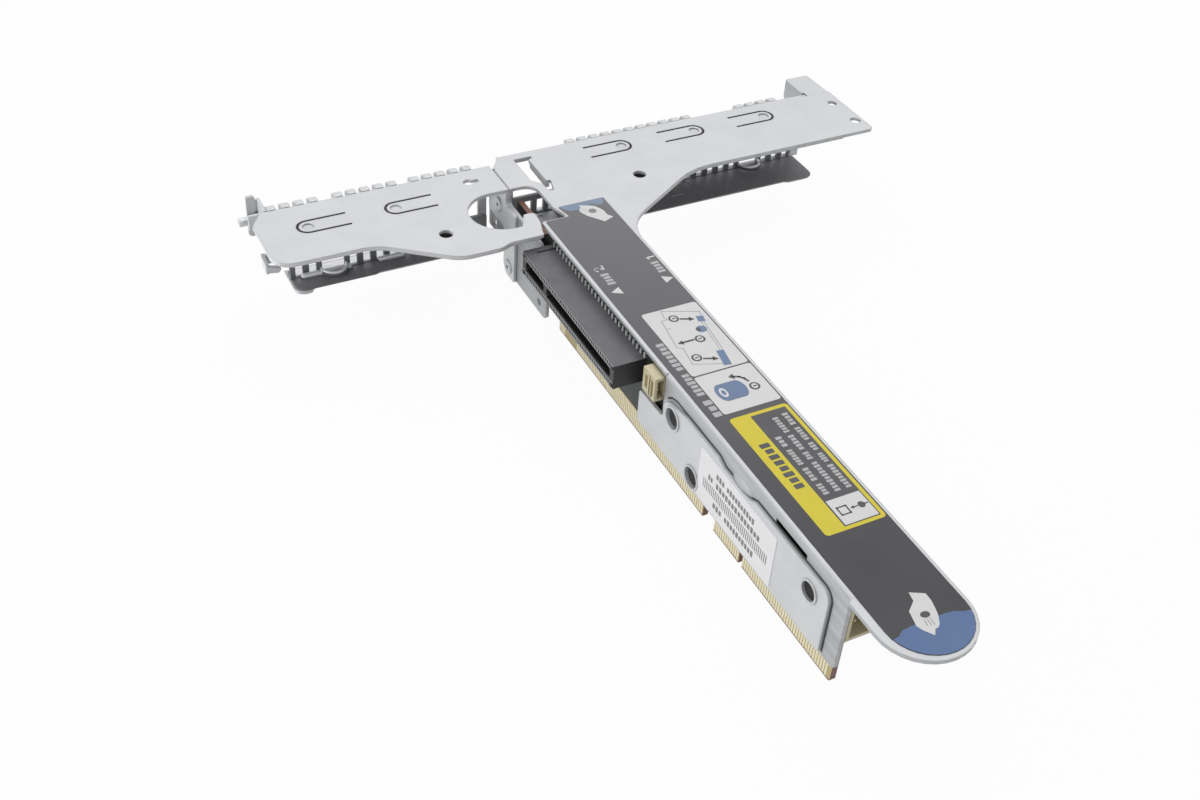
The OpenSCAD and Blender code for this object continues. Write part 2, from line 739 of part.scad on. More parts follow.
// ---------------------------------------------------------------- labels
label_t = 0.15;
label_margin = 0.9;
label_left = fold_x + 1.1;
label_right = arm_right - label_margin;
side_label_rear = -132.4;
side_label_length = 34.2;
module top_label() color("dimgray") cage() level(0, label_t) rounded([
    [grip_right + 1.2, -32.7, 0.5], [label_right, -32.7, 0.5],
    [label_right, arm_end + 1.2, 10.4], [label_left, arm_end + 1.2, 10.4],
    [label_left, strip_end - 0.4, 0.5], [grip_right + 2.4, strip_end - 0.4, 0.5]
]);

module side_label() color("white") cage() along(plate_x - label_t, label_t)
    rounded([
        [side_label_rear, side_plate_foot + 0.7, 0.5], [side_label_rear, side_plate_top - 2.1, 0.5],
        [side_label_rear - side_label_length, side_plate_top - 2.1, 0.5],
        [side_label_rear - side_label_length, side_plate_foot + 0.7, 0.5]
    ]);

main_bracket();
low_profile_bracket();
side_plate();
slot_1_cover();
slot_2_cover();
slot_1_film();
slot_2_film();
slot_1_gasket();
slot_2_gasket();
riser_board();
left_edge_contacts();
right_edge_contacts();
slot_1_socket();
slot_2_socket();
slot_1_socket_contacts();
slot_2_socket_contacts();
socket_solder_tails();
side_header();
front_header();
header_pins();
wall_rivets();
guide_pin();
top_label();
side_label();
board_chips();
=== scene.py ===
"""Looks of a rack server's riser cage: finishes, label artwork and a plain studio.

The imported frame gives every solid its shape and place. This script dresses those solids in
procedural finishes, adds the printed artwork of both labels as thin films of ink, and sets up
the camera, the lamps and the floor. All lengths are metres, in the frame's own axes.
"""

import json
import logging
from dataclasses import dataclass, field, replace
from enum import Enum
from functools import cache

import bmesh
import bpy
import numpy as np
from mathutils import Matrix, Vector


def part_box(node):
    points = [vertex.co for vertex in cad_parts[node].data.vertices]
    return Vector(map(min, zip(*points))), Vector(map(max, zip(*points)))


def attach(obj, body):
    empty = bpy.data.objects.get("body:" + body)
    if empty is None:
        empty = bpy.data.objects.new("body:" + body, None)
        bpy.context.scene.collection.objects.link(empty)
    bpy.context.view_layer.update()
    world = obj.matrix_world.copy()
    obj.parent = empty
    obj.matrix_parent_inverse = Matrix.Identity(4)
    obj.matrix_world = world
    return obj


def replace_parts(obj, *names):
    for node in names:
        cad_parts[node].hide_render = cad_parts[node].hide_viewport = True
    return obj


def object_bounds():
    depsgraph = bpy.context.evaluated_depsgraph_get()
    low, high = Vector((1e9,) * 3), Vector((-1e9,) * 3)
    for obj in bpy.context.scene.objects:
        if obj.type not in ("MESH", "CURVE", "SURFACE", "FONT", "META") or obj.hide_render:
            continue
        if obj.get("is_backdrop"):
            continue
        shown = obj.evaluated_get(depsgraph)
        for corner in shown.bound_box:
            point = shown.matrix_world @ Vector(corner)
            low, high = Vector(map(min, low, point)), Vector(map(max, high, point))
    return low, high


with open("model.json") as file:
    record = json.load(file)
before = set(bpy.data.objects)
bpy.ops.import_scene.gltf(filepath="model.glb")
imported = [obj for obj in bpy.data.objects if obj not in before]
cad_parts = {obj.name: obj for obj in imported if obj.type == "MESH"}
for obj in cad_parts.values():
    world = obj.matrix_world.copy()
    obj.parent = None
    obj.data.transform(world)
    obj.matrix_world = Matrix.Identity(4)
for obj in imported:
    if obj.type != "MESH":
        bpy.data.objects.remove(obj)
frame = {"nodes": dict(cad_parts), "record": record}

LOG = logging.getLogger("riser_cage")
MM = 0.001

Tree = bpy.types.NodeTree
Socket = bpy.types.NodeSocket
Piece = bpy.types.Object
Pair = tuple[float, float]
Point = tuple[float, float, float]
Colour = tuple[float, float, float, float]
Faces = list[tuple[int, ...]]
WHITE: Colour = (1.0, 1.0, 1.0, 1.0)


# ---------------------------------------------------------------- colours and nodes
def linear(code: str) -> Colour:
    """Turns an sRGB hex colour into linear RGBA.

    A share c becomes c / 12.92 up to 0.04045, and ((c + 0.055) / 1.055) ** 2.4 above it.

    Args:
        code: Six hex digits, such as "D8DADD".

    Returns:
        Linear red, green and blue, and an alpha of 1.
    """
    parts = np.array([int(code[i : i + 2], 16) for i in (0, 2, 4)]) / 255.0
    out = np.where(parts <= 0.04045, parts / 12.92, ((parts + 0.055) / 1.055) ** 2.4)
    return (float(out[0]), float(out[1]), float(out[2]), 1.0)


def add_node(tree: Tree, kind: str, inputs: dict | None = None, **settings: object) -> bpy.types.Node:
    """Adds one node with its settings, values and links.

    Args:
        tree: The tree to add to.
        kind: Blender's node type.
        inputs: Input name or index to a value, or to the output socket that feeds it.
        **settings: Attributes of the node itself.

    Returns:
        The new node.
    """
    node = tree.nodes.new(kind)
    for name, value in settings.items():
        setattr(node, name, value)
    for name, value in (inputs or {}).items():
        if isinstance(value, Socket):
            tree.links.new(value, node.inputs[name])
        else:
            node.inputs[name].default_value = value
    return node


def set_stops(ramp: bpy.types.Node, stops: list[tuple[float, Colour]]) -> None:
    """Sets a colour ramp's two stops.

    Args:
        ramp: A colour ramp node.
        stops: Position and linear RGBA of both stops, in rising order.
    """
    for element, (position, colour) in zip(ramp.color_ramp.elements, stops):
        element.position = position
        element.color = colour


def span(source: Pair, target: Pair = (1.0, 0.0)) -> dict[str, float]:
    """Inputs that carry one range of values to another.

    Args:
        source: Values where the range starts and ends.
        target: What they become.

    Returns:
        Input names to values.
    """
    return dict(zip(("From Min", "From Max", "To Min", "To Max"), source + target))


# ---------------------------------------------------------------- finishes
# Noise values between which a pattern goes from its first state to its second
MOTTLE_SPAN: Pair = (0.32, 0.72)
SHINE_SPAN: Pair = (0.3, 0.7)
STREAK_SPAN: Pair = (0.35, 0.66)
# Parts of a face's direction at which it starts and stops counting as a side face or a top face,
# and the part along X under which a board's face is a cut edge
# Side and top faces take the painted side tones and the mouldings' painted shade
SIDE_SPAN: Pair = (-0.9, -0.6)
TOP_SPAN: Pair = (0.5, 0.8)
CUT_LIMIT = 0.7


@dataclass(frozen=True)
class Finish:
    """A surface finish: a mottled colour, a mottled roughness, a fine bump and, where set, painted crevice
    shade.

    Attributes:
        name: Name of the material.
        base: sRGB hex of the surface.
        tint: sRGB hex of the mottling.
        mottle_mm: Size of one patch of mottling.
        mottle: How far the colour moves towards the tint, 0 to 1.
        roughness: Mean roughness.
        swing: How far the roughness moves either way.
        metallic: 0 for plastics and inks, higher where the plating mirrors its surroundings.
        grain_mm: Size of the fine relief, drawn coarser than the real one so that it shows.
        relief_mm: Height of the fine relief.
        soften_mm: Radius by which the shader rounds sharp edges.
        crevice: How dark the painted shade in cuts and inner corners turns, 0 to 1.
        crevice_mm: How near a wall has to be to count as a crevice.
        crevice_open: Shares of open sky at which a crevice is darkest, and at which none is left.
        crevice_shade: sRGB hex of the painted shade in a crevice.
    """

    name: str
    base: str
    tint: str
    mottle_mm: float = 2.0
    mottle: float = 0.8
    roughness: float = 0.5
    swing: float = 0.06
    metallic: float = 0.0
    grain_mm: float = 0.3
    relief_mm: float = 0.006
    soften_mm: float = 0.0
    crevice: float = 0.0
    crevice_mm: float = 1.0
    crevice_open: Pair = (0.3, 0.66)
    crevice_shade: str = "141416"

    @cache
    def build(self) -> bpy.types.Material:
        """Builds the material, once for each finish.

        Returns:
            The finished material.
        """
        material = bpy.data.materials.new(self.name)
        material.use_nodes = True
        tree = material.node_tree
        tree.nodes.clear()
        place = add_node(tree, "ShaderNodeTexCoord").outputs["Object"]
        colour = self.mottling(tree, place)
        for share, over in self.layers(tree, place) + self.painted_crevice_shade(tree):
            mixed = add_node(tree, "ShaderNodeMix", {0: share, 6: colour, 7: over}, data_type="RGBA")
            colour = mixed.outputs[2]
        shader = add_node(
            tree,
            "ShaderNodeBsdfPrincipled",
            {
                "Base Color": colour,
                "Roughness": self.shine(tree, place),
                "Metallic": self.metallic,
                "Normal": self.relief(tree, place),
            },
        )
        add_node(tree, "ShaderNodeOutputMaterial", {"Surface": shader.outputs["BSDF"]})
        return material

    def mottling(self, tree: Tree, place: Socket) -> Socket:
        """Mottles the base colour towards the tint.

        Args:
            tree: The material's node tree.
            place: Object coordinates.

        Returns:
            The colour socket.
        """
        scale = 1.0 / (self.mottle_mm * MM)
        noise = {"Vector": place, "Scale": scale, "Detail": 5.0, "Roughness": 0.62}
        patches = add_node(tree, "ShaderNodeTexNoise", noise)
        ramp = add_node(tree, "ShaderNodeValToRGB", {"Fac": patches.outputs["Fac"]})
        base = linear(self.base)
        mixed = tuple(b + (t - b) * self.mottle for b, t in zip(base, linear(self.tint)))
        set_stops(ramp, list(zip(MOTTLE_SPAN, (base, mixed))))
        return ramp.outputs["Color"]

    def layers(self, tree: Tree, place: Socket) -> list[tuple[Socket, Socket | Colour]]:
        """Share and colour of each layer over the mottling: none on a plain finish."""
        return []

    def painted_crevice_shade(self, tree: Tree) -> list[tuple[Socket, Colour]]:
        """Paints shade into cuts and inner corners, by how little open sky they see.

        Args:
            tree: The material's node tree.

        Returns:
            Share and colour of the shade, or nothing where the finish has none.
        """
        if self.crevice <= 0.0:
            return []
        # Painted shade: the less open sky a point sees, the darker it is painted
        near = add_node(tree, "ShaderNodeAmbientOcclusion", {"Distance": self.crevice_mm * MM}, samples=8)
        reach = span(self.crevice_open, (self.crevice, 0.0))
        share = add_node(tree, "ShaderNodeMapRange", {"Value": near.outputs["AO"], **reach})
        return [(share.outputs["Result"], linear(self.crevice_shade))]

    def shine(self, tree: Tree, place: Socket) -> Socket:
        """Varies the roughness over patches of handling and plating, twice as wide as the mottling.

        Args:
            tree: The material's node tree.
            place: Object coordinates.

        Returns:
            The roughness socket.
        """
        scale = 0.45 / (self.mottle_mm * MM)
        patches = add_node(tree, "ShaderNodeTexNoise", {"Vector": place, "Scale": scale, "Detail": 4.0})
        reach = span(SHINE_SPAN, (self.roughness - self.swing, self.roughness + self.swing))
        shine = add_node(tree, "ShaderNodeMapRange", {"Value": patches.outputs["Fac"], **reach})
        return shine.outputs["Result"]

    def relief(self, tree: Tree, place: Socket) -> Socket:
        """Raises the fine grain over edges that the shader rounds.

        Args:
            tree: The material's node tree.
            place: Object coordinates.

        Returns:
            The normal socket.
        """
        scale = 1.0 / (self.grain_mm * MM)
        grain = add_node(tree, "ShaderNodeTexNoise", {"Vector": place, "Scale": scale, "Detail": 3.0})
        height = {"Height": grain.outputs["Fac"], "Strength": 1.0, "Distance": self.relief_mm * MM}
        if self.soften_mm > 0.0:
            soft = add_node(tree, "ShaderNodeBevel", {"Radius": self.soften_mm * MM}, samples=4)
            height["Normal"] = soft.outputs["Normal"]
        return add_node(tree, "ShaderNodeBump", height).outputs["Normal"]


@dataclass(frozen=True)
class LaminateFinish(Finish):
    """Circuit board: dark mask on the faces, bare laminate on the edges, a bare strip at the contacts.

    Attributes:
        edge: sRGB hex of the cut edges.
        strip: sRGB hex of the strip between the edge contacts.
        strip_top_mm: Height of that strip's upper border in the frame.
        foot_mm: Height of the bevelled foot, which is bare laminate.
    """

    edge: str = "7A5448"
    strip: str = "BFB07C"
    strip_top_mm: float = 6.3
    foot_mm: float = 0.45

    def layers(self, tree: Tree, place: Socket) -> list[tuple[Socket, Colour]]:
        """Lays the strip over the mask, and the edge colour where the surface doesn't face +-X.

        Args:
            tree: The material's node tree.
            place: Object coordinates.

        Returns:
            Share and colour of the strip and of the edges.
        """
        height = add_node(tree, "ShaderNodeSeparateXYZ", {"Vector": place}).outputs["Z"]
        facing = add_node(tree, "ShaderNodeNewGeometry").outputs["True Normal"]
        across = add_node(tree, "ShaderNodeSeparateXYZ", {"Vector": facing}).outputs["X"]
        size = add_node(tree, "ShaderNodeMath", {0: across}, operation="ABSOLUTE").outputs["Value"]
        strip, foot, cut = (
            add_node(tree, "ShaderNodeMath", {0: value, 1: limit}, operation="LESS_THAN").outputs["Value"]
            for value, limit in (
                (height, self.strip_top_mm * MM),
                (height, self.foot_mm * MM),
                (size, CUT_LIMIT),
            )
        )
        bare = add_node(tree, "ShaderNodeMath", {0: cut, 1: foot}, operation="MAXIMUM").outputs["Value"]
        return [(strip, linear(self.strip)), (bare, linear(self.edge))]


@dataclass(frozen=True)
class PaintedReflectionFade(Finish):
    """Finish that moves to a second colour along the arm, a painted reflection that grows towards the far
    end.

    Attributes:
        far: sRGB hex at the far place, the painted reflection.
        far_mm: Y of the frame where the far colour is reached.
        near_mm: Y of the frame where the base colour begins.
    """

    far: str = "77777A"
    far_mm: float = 88.0
    near_mm: float = -60.0

    def layers(self, tree: Tree, place: Socket) -> list[tuple[Socket, Colour]]:
        """Fades to the painted reflection along Y.

        Args:
            tree: The material's node tree.
            place: Object coordinates.

        Returns:
            Share and colour of the far end.
        """
        along = add_node(tree, "ShaderNodeSeparateXYZ", {"Vector": place}).outputs["Y"]
        reach = span((self.near_mm * MM, self.far_mm * MM), (0.0, 1.0))
        share = add_node(tree, "ShaderNodeMapRange", {"Value": along, **reach}).outputs["Result"]
        return [(share, linear(self.far))]


@dataclass(frozen=True)
class PaintedFlankFinish(Finish):
    """Sheet whose upright side faces get a painted tone for the light and shade on them, streaked along
    the fold.

    Attributes:
        painted_flank: sRGB hex painted on the side faces for their light and shade.
        streak: sRGB hex of their streaks.
        streak_mm: Width of a streak.
        stretch: How much longer than wide a streak is.
        sides: Whether faces that look to -X, and faces that look to -Y, count as side faces.
    """

    painted_flank: str = "AEB0B2"
    streak: str = "C2C5C6"
    streak_mm: float = 1.6
    stretch: float = 20.0
    sides: Pair = (1.0, 1.0)

    def layers(self, tree: Tree, place: Socket) -> list[tuple[Socket, Socket]]:
        """Lays the streaked, painted side tone over faces that look to -X or -Y.

        Args:
            tree: The material's node tree.
            place: Object coordinates.

        Returns:
            Share and colour of the side faces.
        """
        longer = (1.0, 1.0 / self.stretch, 1.0)
        run = add_node(tree, "ShaderNodeMapping", {"Vector": place, "Scale": longer})
        noise = {"Vector": run.outputs["Vector"], "Scale": 1.0 / (self.streak_mm * MM), "Detail": 4.0}
        lines = add_node(tree, "ShaderNodeTexNoise", noise)
        ramp = add_node(tree, "ShaderNodeValToRGB", {"Fac": lines.outputs["Fac"]})
        set_stops(ramp, list(zip(STREAK_SPAN, (linear(self.painted_flank), linear(self.streak)))))
        facing = add_node(tree, "ShaderNodeNewGeometry").outputs["True Normal"]
        parts = add_node(tree, "ShaderNodeSeparateXYZ", {"Vector": facing}).outputs
        across, along = (
            add_node(tree, "ShaderNodeMath", {0: parts[axis], 1: side}, operation="MULTIPLY").outputs[0]
            for axis, side in zip("XY", self.sides)
        )
        outward = add_node(tree, "ShaderNodeMath", {0: across, 1: along}, operation="MINIMUM")
        reach = {"Value": outward.outputs["Value"], **span(SIDE_SPAN)}
        share = add_node(tree, "ShaderNodeMapRange", reach)
        return [(share.outputs["Result"], ramp.outputs["Color"])]


@dataclass(frozen=True)
class PaintedShadeMoulding(Finish):
    """Moulding painted darker as shade where it doesn't look up; its tops keep a base of dust and sheen.

    Attributes:
        painted_side_shade: sRGB hex painted on the faces that don't look up, as shade.
    """

    painted_side_shade: str = "2B2B2E"

    def layers(self, tree: Tree, place: Socket) -> list[tuple[Socket, Colour]]:
        """Lays the painted shade over faces that don't look up.

        Args:
            tree: The material's node tree.
            place: Not used.

        Returns:
            Share and colour of the painted shade.
        """
        facing = add_node(tree, "ShaderNodeNewGeometry").outputs["True Normal"]
        height = add_node(tree, "ShaderNodeSeparateXYZ", {"Vector": facing}).outputs["Z"]
        share = add_node(tree, "ShaderNodeMapRange", {"Value": height, **span(TOP_SPAN)})
        return [(share.outputs["Result"], linear(self.painted_side_shade))]


# Zinc-plated cold-rolled sheet: bright satin grey with faint clouding from the plating bath.
# Its side faces are painted darker as shade, and its cuts and inner corners get painted crevice shade
ZINC_SHEET = PaintedFlankFinish(
    "zinc_plated_sheet", "CDCED1", "C4C5C8", mottle_mm=9.0, roughness=0.46, metallic=0.2, grain_mm=0.5,
    relief_mm=0.004, soften_mm=0.6, crevice=0.95, crevice_mm=2.5,
)
# The low-profile half's flange is painted as bright as its top, for the floor's light that it catches
ZINC_HALF = replace(
    ZINC_SHEET, name="zinc_plated_half", crevice_mm=1.5, painted_flank="EDEFF0", streak="F6F8F8", sides=(1.0, 0.0),
)
# The side plate is the same sheet with an even face, and painted shade in its crevices
ZINC_PLATE = Finish(
    "zinc_plated_plate", "D8DADC", "CCCED1", mottle_mm=7.0, roughness=0.42, metallic=0.25, grain_mm=0.5,
    relief_mm=0.004, soften_mm=0.4, crevice=0.95, crevice_mm=2.5,
)
# The covers are the same sheet, painted darker for the shade of the bays.
COVER_SHEET = Finish(
    "zinc_plated_cover", "7C7E81", "696B6E", mottle_mm=5.0, roughness=0.42, swing=0.08, metallic=0.3,
    grain_mm=0.5, relief_mm=0.004, soften_mm=0.3,
)
# Rolled edges and the bare shelf strip, painted bright as their highlight and the light that reaches them
PAINTED_HIGHLIGHT_SHEET = Finish(
    "rubbed_zinc_sheet", "ECEDEE", "D8DADB", roughness=0.34, swing=0.08, metallic=0.3, grain_mm=0.4,
    relief_mm=0.004,
)
# Spring steel of the gasket fingers: thin and bright
SPRING_STEEL = Finish(
    "spring_steel", "D2D4D5", "C2C4C6", mottle_mm=3.0, mottle=0.7, roughness=0.38, metallic=0.1,
    grain_mm=0.4, relief_mm=0.003,
)
# Plated rivets and pin
RIVET_STEEL = Finish(
    "plated_rivet_steel", "DADCDE", "B8BBBE", mottle_mm=1.4, roughness=0.33, swing=0.08, metallic=0.4,
    relief_mm=0.004, soften_mm=0.3,
)
# Threaded bushes, painted near black for the shade inside the locating holes
BUSH_PAINTED_SHADE = Finish(
    "oiled_bush_steel", "1B1A1A", "131313", mottle_mm=1.0, roughness=0.45, swing=0.08, metallic=0.4,
)
# Polyester film: even dark grey, painted lighter for the white it reflects, with the faint pebble of its
# matt side.
POLYESTER_FILM = Finish(
    "polyester_film", "88888B", "7A7A7D", mottle_mm=6.0, roughness=0.48, swing=0.08, grain_mm=0.35,
)
# Glass-epoxy laminate under dark solder mask
SOLDER_MASK = LaminateFinish(
    "solder_mask_laminate", "1C241E", "171D19", mottle_mm=2.5, mottle=0.7, grain_mm=0.25,
)
# Hard gold over nickel: pale where the light grazes it
GOLD_PLATE = Finish(
    "gold_plate", "F6F0D6", "E6DAA8", mottle_mm=1.2, mottle=0.7, roughness=0.35, metallic=0.15,
    relief_mm=0.002,
)
# Glass-filled nylon: matt black with a fine moulded grain, painted darker as shade where it doesn't look
# up
BLACK_NYLON = PaintedShadeMoulding(
    "glass_filled_nylon", "67676B", "58585C", mottle_mm=5.0, swing=0.08, relief_mm=0.01, soften_mm=0.2,
)
# The same nylon where the moulding's thin walls catch the light
LIT_NYLON = Finish("thin_nylon_walls", "C4C5C8", "A8A9AC", mottle_mm=0.7, roughness=0.45, swing=0.08)
# Painted shade: near black, put in deep slots, cuts and holes
PAINTED_SHADE = Finish("shaded_nylon", "17171A", "121214", roughness=0.7, swing=0.05)
# Shade between the two sheets
SEAM_SHADE = Finish("seam_shade", "4C4F50", "3A3C3D", roughness=0.7, swing=0.05)
# Unpigmented nylon: warm cream, with painted shade in its crevices
CREAM_NYLON = Finish(
    "natural_nylon", "D3CAAC", "C3B891", mottle=0.7, roughness=0.42, relief_mm=0.008, soften_mm=0.25,
    crevice=0.6, crevice_mm=1.6,
)
# Painted shade inside the headers' windows, olive
HEADER_SHADE = Finish("header_inside", "93865A", "7D7148", mottle_mm=1.0, roughness=0.6)
# Tin-plated tails
TIN_PLATE = Finish(
    "tin_plate", "DEDFE0", "C4C5C6", mottle_mm=1.0, mottle=0.7, roughness=0.35, metallic=0.3,
    relief_mm=0.003,
)
# Spring contacts of the sockets, deep in the mouth, painted dark for the shade there
CONTACT_TIPS = Finish(
    "contact_tips", "3A3936", "2A2927", mottle_mm=1.0, roughness=0.4, metallic=0.3, relief_mm=0.003,
)
# Moulded epoxy packages
EPOXY_PACKAGE = Finish(
    "epoxy_package", "26272A", "2F3033", mottle_mm=1.5, mottle=0.7, roughness=0.55, swing=0.05,
    grain_mm=0.25, relief_mm=0.008, soften_mm=0.15,
)
# Coated paper of the side label
COATED_PAPER = Finish(
    "coated_paper", "F2F2F4", "EAEAEC", mottle_mm=5.0, mottle=0.6, swing=0.05, grain_mm=0.4,
    relief_mm=0.004,
)
# Screen-printed polyester label: dark grey with a fine pebble that scatters the light
# Its far end is painted lighter, as the reflection that grows along the arm
LABEL_FILM = PaintedReflectionFade(
    "label_polyester", "323135", "2E2D31", mottle_mm=9.0, mottle=0.7, swing=0.05, relief_mm=0.008,
    far="67676B",
)


class Ink(Enum):
    """Inks of the printed labels."""

    WHITE = Finish("ink_white", "D4D4D5", "CCCCCD", mottle_mm=3.0, mottle=0.5, swing=0.04)
    YELLOW = Finish("ink_yellow", "D2C224", "C8B81F", mottle_mm=4.0, mottle=0.5, swing=0.04)
    # Painted reflection: the blue turns lighter towards the far end
    BLUE = PaintedReflectionFade(
        "ink_blue", "526C98", "4D6690", mottle_mm=4.0, mottle=0.5, swing=0.04, far="76889F",
    )
    DARK = Finish("ink_dark", "48484B", "414144", mottle_mm=3.0, mottle=0.5, swing=0.04)
    GREY = Finish("ink_grey", "828285", "7A7A7D", mottle_mm=3.0, mottle=0.5, swing=0.04)
    PALE = Finish("ink_pale", "B0B0B2", "A8A8AA", mottle_mm=3.0, mottle=0.5, swing=0.04)


NODE_FINISHES: dict[str, Finish] = {
    "main_bracket": ZINC_SHEET,
    "low_profile_bracket": ZINC_HALF,
    "side_plate": ZINC_PLATE,
    "slot_1_cover": COVER_SHEET,
    "slot_2_cover": COVER_SHEET,
    "slot_1_film": POLYESTER_FILM,
    "slot_2_film": POLYESTER_FILM,
    "slot_1_gasket": SPRING_STEEL,
    "slot_2_gasket": SPRING_STEEL,
    "riser_board": SOLDER_MASK,
    "left_edge_contacts": GOLD_PLATE,
    "right_edge_contacts": GOLD_PLATE,
    "slot_1_socket": BLACK_NYLON,
    "slot_2_socket": BLACK_NYLON,
    "slot_1_socket_contacts": CONTACT_TIPS,
    "slot_2_socket_contacts": CONTACT_TIPS,
    "socket_solder_tails": TIN_PLATE,
    "side_header": CREAM_NYLON,
    "front_header": CREAM_NYLON,
    "header_pins": GOLD_PLATE,
    "wall_rivets": RIVET_STEEL,
    "guide_pin": RIVET_STEEL,
    "top_label": LABEL_FILM,
    "side_label": COATED_PAPER,
    "board_chips": EPOXY_PACKAGE,
}


@dataclass
class DressedFrame:
    """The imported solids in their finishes.

    Attributes:
        finishes: Node name to finish.
    """

    finishes: dict[str, Finish] = field(default_factory=lambda: dict(NODE_FINISHES))

    def build(self) -> None:
        """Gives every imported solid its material."""
        for name, solid in frame["nodes"].items():
            finish = self.finishes[name]
            solid.data.materials.clear()
            solid.data.materials.append(finish.build())
            LOG.info("dressed %s in %s", name, finish.name)


def new_piece(name: str, points: np.ndarray, faces: Faces) -> Piece:
    """Makes a linked object at the origin.

    Args:
        name: Name of the object and its mesh.
        points: Points in frame metres.
        faces: Faces as tuples of point numbers.

    Returns:
        The new object, with its place in its mesh.
    """
    mesh = bpy.data.meshes.new(name)
    mesh.from_pydata(np.asarray(points).tolist(), [], faces)
    mesh.validate()
    mesh.update()
    piece = bpy.data.objects.new(name, mesh)
    bpy.context.scene.collection.objects.link(piece)
    return piece


# ---------------------------------------------------------------- flat shapes
def arc(centre: Pair, radii: Pair, start: float, end: float, steps: int) -> np.ndarray:
    """Points on an ellipse: centre + radii * (cos t, sin t), t even from start to end degrees.

    Args:
        centre: Centre of the ellipse.
        radii: Its two radii.
        start: First angle.
        end: Last angle.
        steps: Number of intervals.

    Returns:
        Array of steps + 1 points.
    """
    t = np.radians(np.linspace(start, end, steps + 1))
    return np.stack([centre[0] + radii[0] * np.cos(t), centre[1] + radii[1] * np.sin(t)], axis=1)


def ellipse(centre: Pair, radii: Pair, steps: int = 28) -> np.ndarray:
    """Closed ellipse, without its repeated last point."""
    return arc(centre, radii, 0.0, 360.0, steps)[:-1]


def rounded_box(low: Pair, high: Pair, radius: float) -> np.ndarray:
    """Rectangle whose corners are quarter circles.

    Args:
        low: Lowest corner.
        high: Highest corner.
        radius: Corner radius.

    Returns:
        Closed outline, counter-clockwise.
    """
    (x0, y0), (x1, y1) = low, high
    r = radius
    centres = ((x1 - r, y0 + r), (x1 - r, y1 - r), (x0 + r, y1 - r), (x0 + r, y0 + r))
    turns = enumerate(centres, -1)
    return np.concatenate([arc(centre, (r, r), 90 * turn, 90 * turn + 90, 5) for turn, centre in turns])


def stroke(path: np.ndarray, width: float) -> list[np.ndarray]:
    """Turns a line into one thin rectangle per stretch.

    Args:
        path: Points of the line.
        width: Its width.

    Returns:
        One closed outline per stretch, each lengthened by half the width at both ends.
    """
    a, b = path[:-1], path[1:]
    along = (b - a) / np.linalg.norm(b - a, axis=1, keepdims=True) * (width / 2)
    side = np.stack([-along[:, 1], along[:, 0]], axis=1)
    corners = np.stack([a - along - side, b + along - side, b + along + side, a - along + side], axis=1)
    return list(corners)


def arrow(tail: Pair, tip: Pair, width: float) -> list[np.ndarray]:
    """Straight arrow: a shaft, and a triangular head 3 widths across and 2.6 widths long.

    Args:
        tail: Start of the shaft.
        tip: Point of the head.
        width: Width of the shaft.

    Returns:
        Outlines of the shaft and the head.
    """
    a, b = np.array(tail), np.array(tip)
    along = (b - a) / np.linalg.norm(b - a)
    side = np.array([-along[1], along[0]]) * width * 1.5
    neck = b - along * width * 2.6
    return stroke(np.array([a, neck]), width) + [np.array([neck - side, b, neck + side])]


def letters(low: Pair, high: Pair, count: int) -> list[np.ndarray]:
    """Row of small blocks along v that stands for one printed word.

    Args:
        low: Lowest corner of the row.
        high: Highest corner of the row.
        count: Number of blocks.

    Returns:
        One outline per block, each 0.72 of its share long and with a width that varies a little.
    """
    edges = np.linspace(low[1], high[1], count + 1)
    share = (high[1] - low[1]) / count
    width = high[0] - low[0]
    insets = 0.14 * width * (1 + np.cos(2.4 * np.arange(count) + low[1])) / 2
    radius = 0.12 * min(share, width)
    starts, ends = edges[:-1] + 0.14 * share, edges[:-1] + 0.86 * share
    return [
        rounded_box((low[0] + inset, start), (high[0] - inset / 2, end), radius)
        for start, end, inset in zip(starts, ends, insets)
    ]


def film_mesh(
    name: str, outlines: list[np.ndarray], lift: float, thickness: float, place: np.ndarray
) -> Piece:
    """Builds closed thin prisms over flat outlines.

    Each outline (u, v) becomes a floor at height lift, a top at lift + thickness and a wall
    between them; place maps (u, v, height) to the frame.

    Args:
        name: Name of the piece.
        outlines: Closed outlines in millimetres.
        lift: Height of the prisms' floor over the label, in millimetres.
        thickness: Thickness of the ink, in millimetres.
        place: 4 by 4 matrix from label millimetres to frame metres.

    Returns:
        The new object, with its place in its mesh.
    """
    points, faces, start = [], [], 0
    for outline in outlines:
        n = len(outline)
        u, v = outline.T
        area = np.sum(u * np.roll(v, -1) - np.roll(u, -1) * v)
        rim = outline if area > 0 else outline[::-1]
        for height in (lift, lift + thickness):
            points.append(np.column_stack([rim, np.full(n, height), np.ones(n)]))
        low = start + np.arange(n)
        high = low + n
        faces.append(tuple(high.tolist()))
        faces.append(tuple(low[::-1].tolist()))
        walls = np.stack([low, np.roll(low, -1), np.roll(high, -1), high], axis=1)
        faces.extend(map(tuple, walls.tolist()))
        start += 2 * n
    return new_piece(name, (np.concatenate(points) @ place.T)[:, :3], faces)


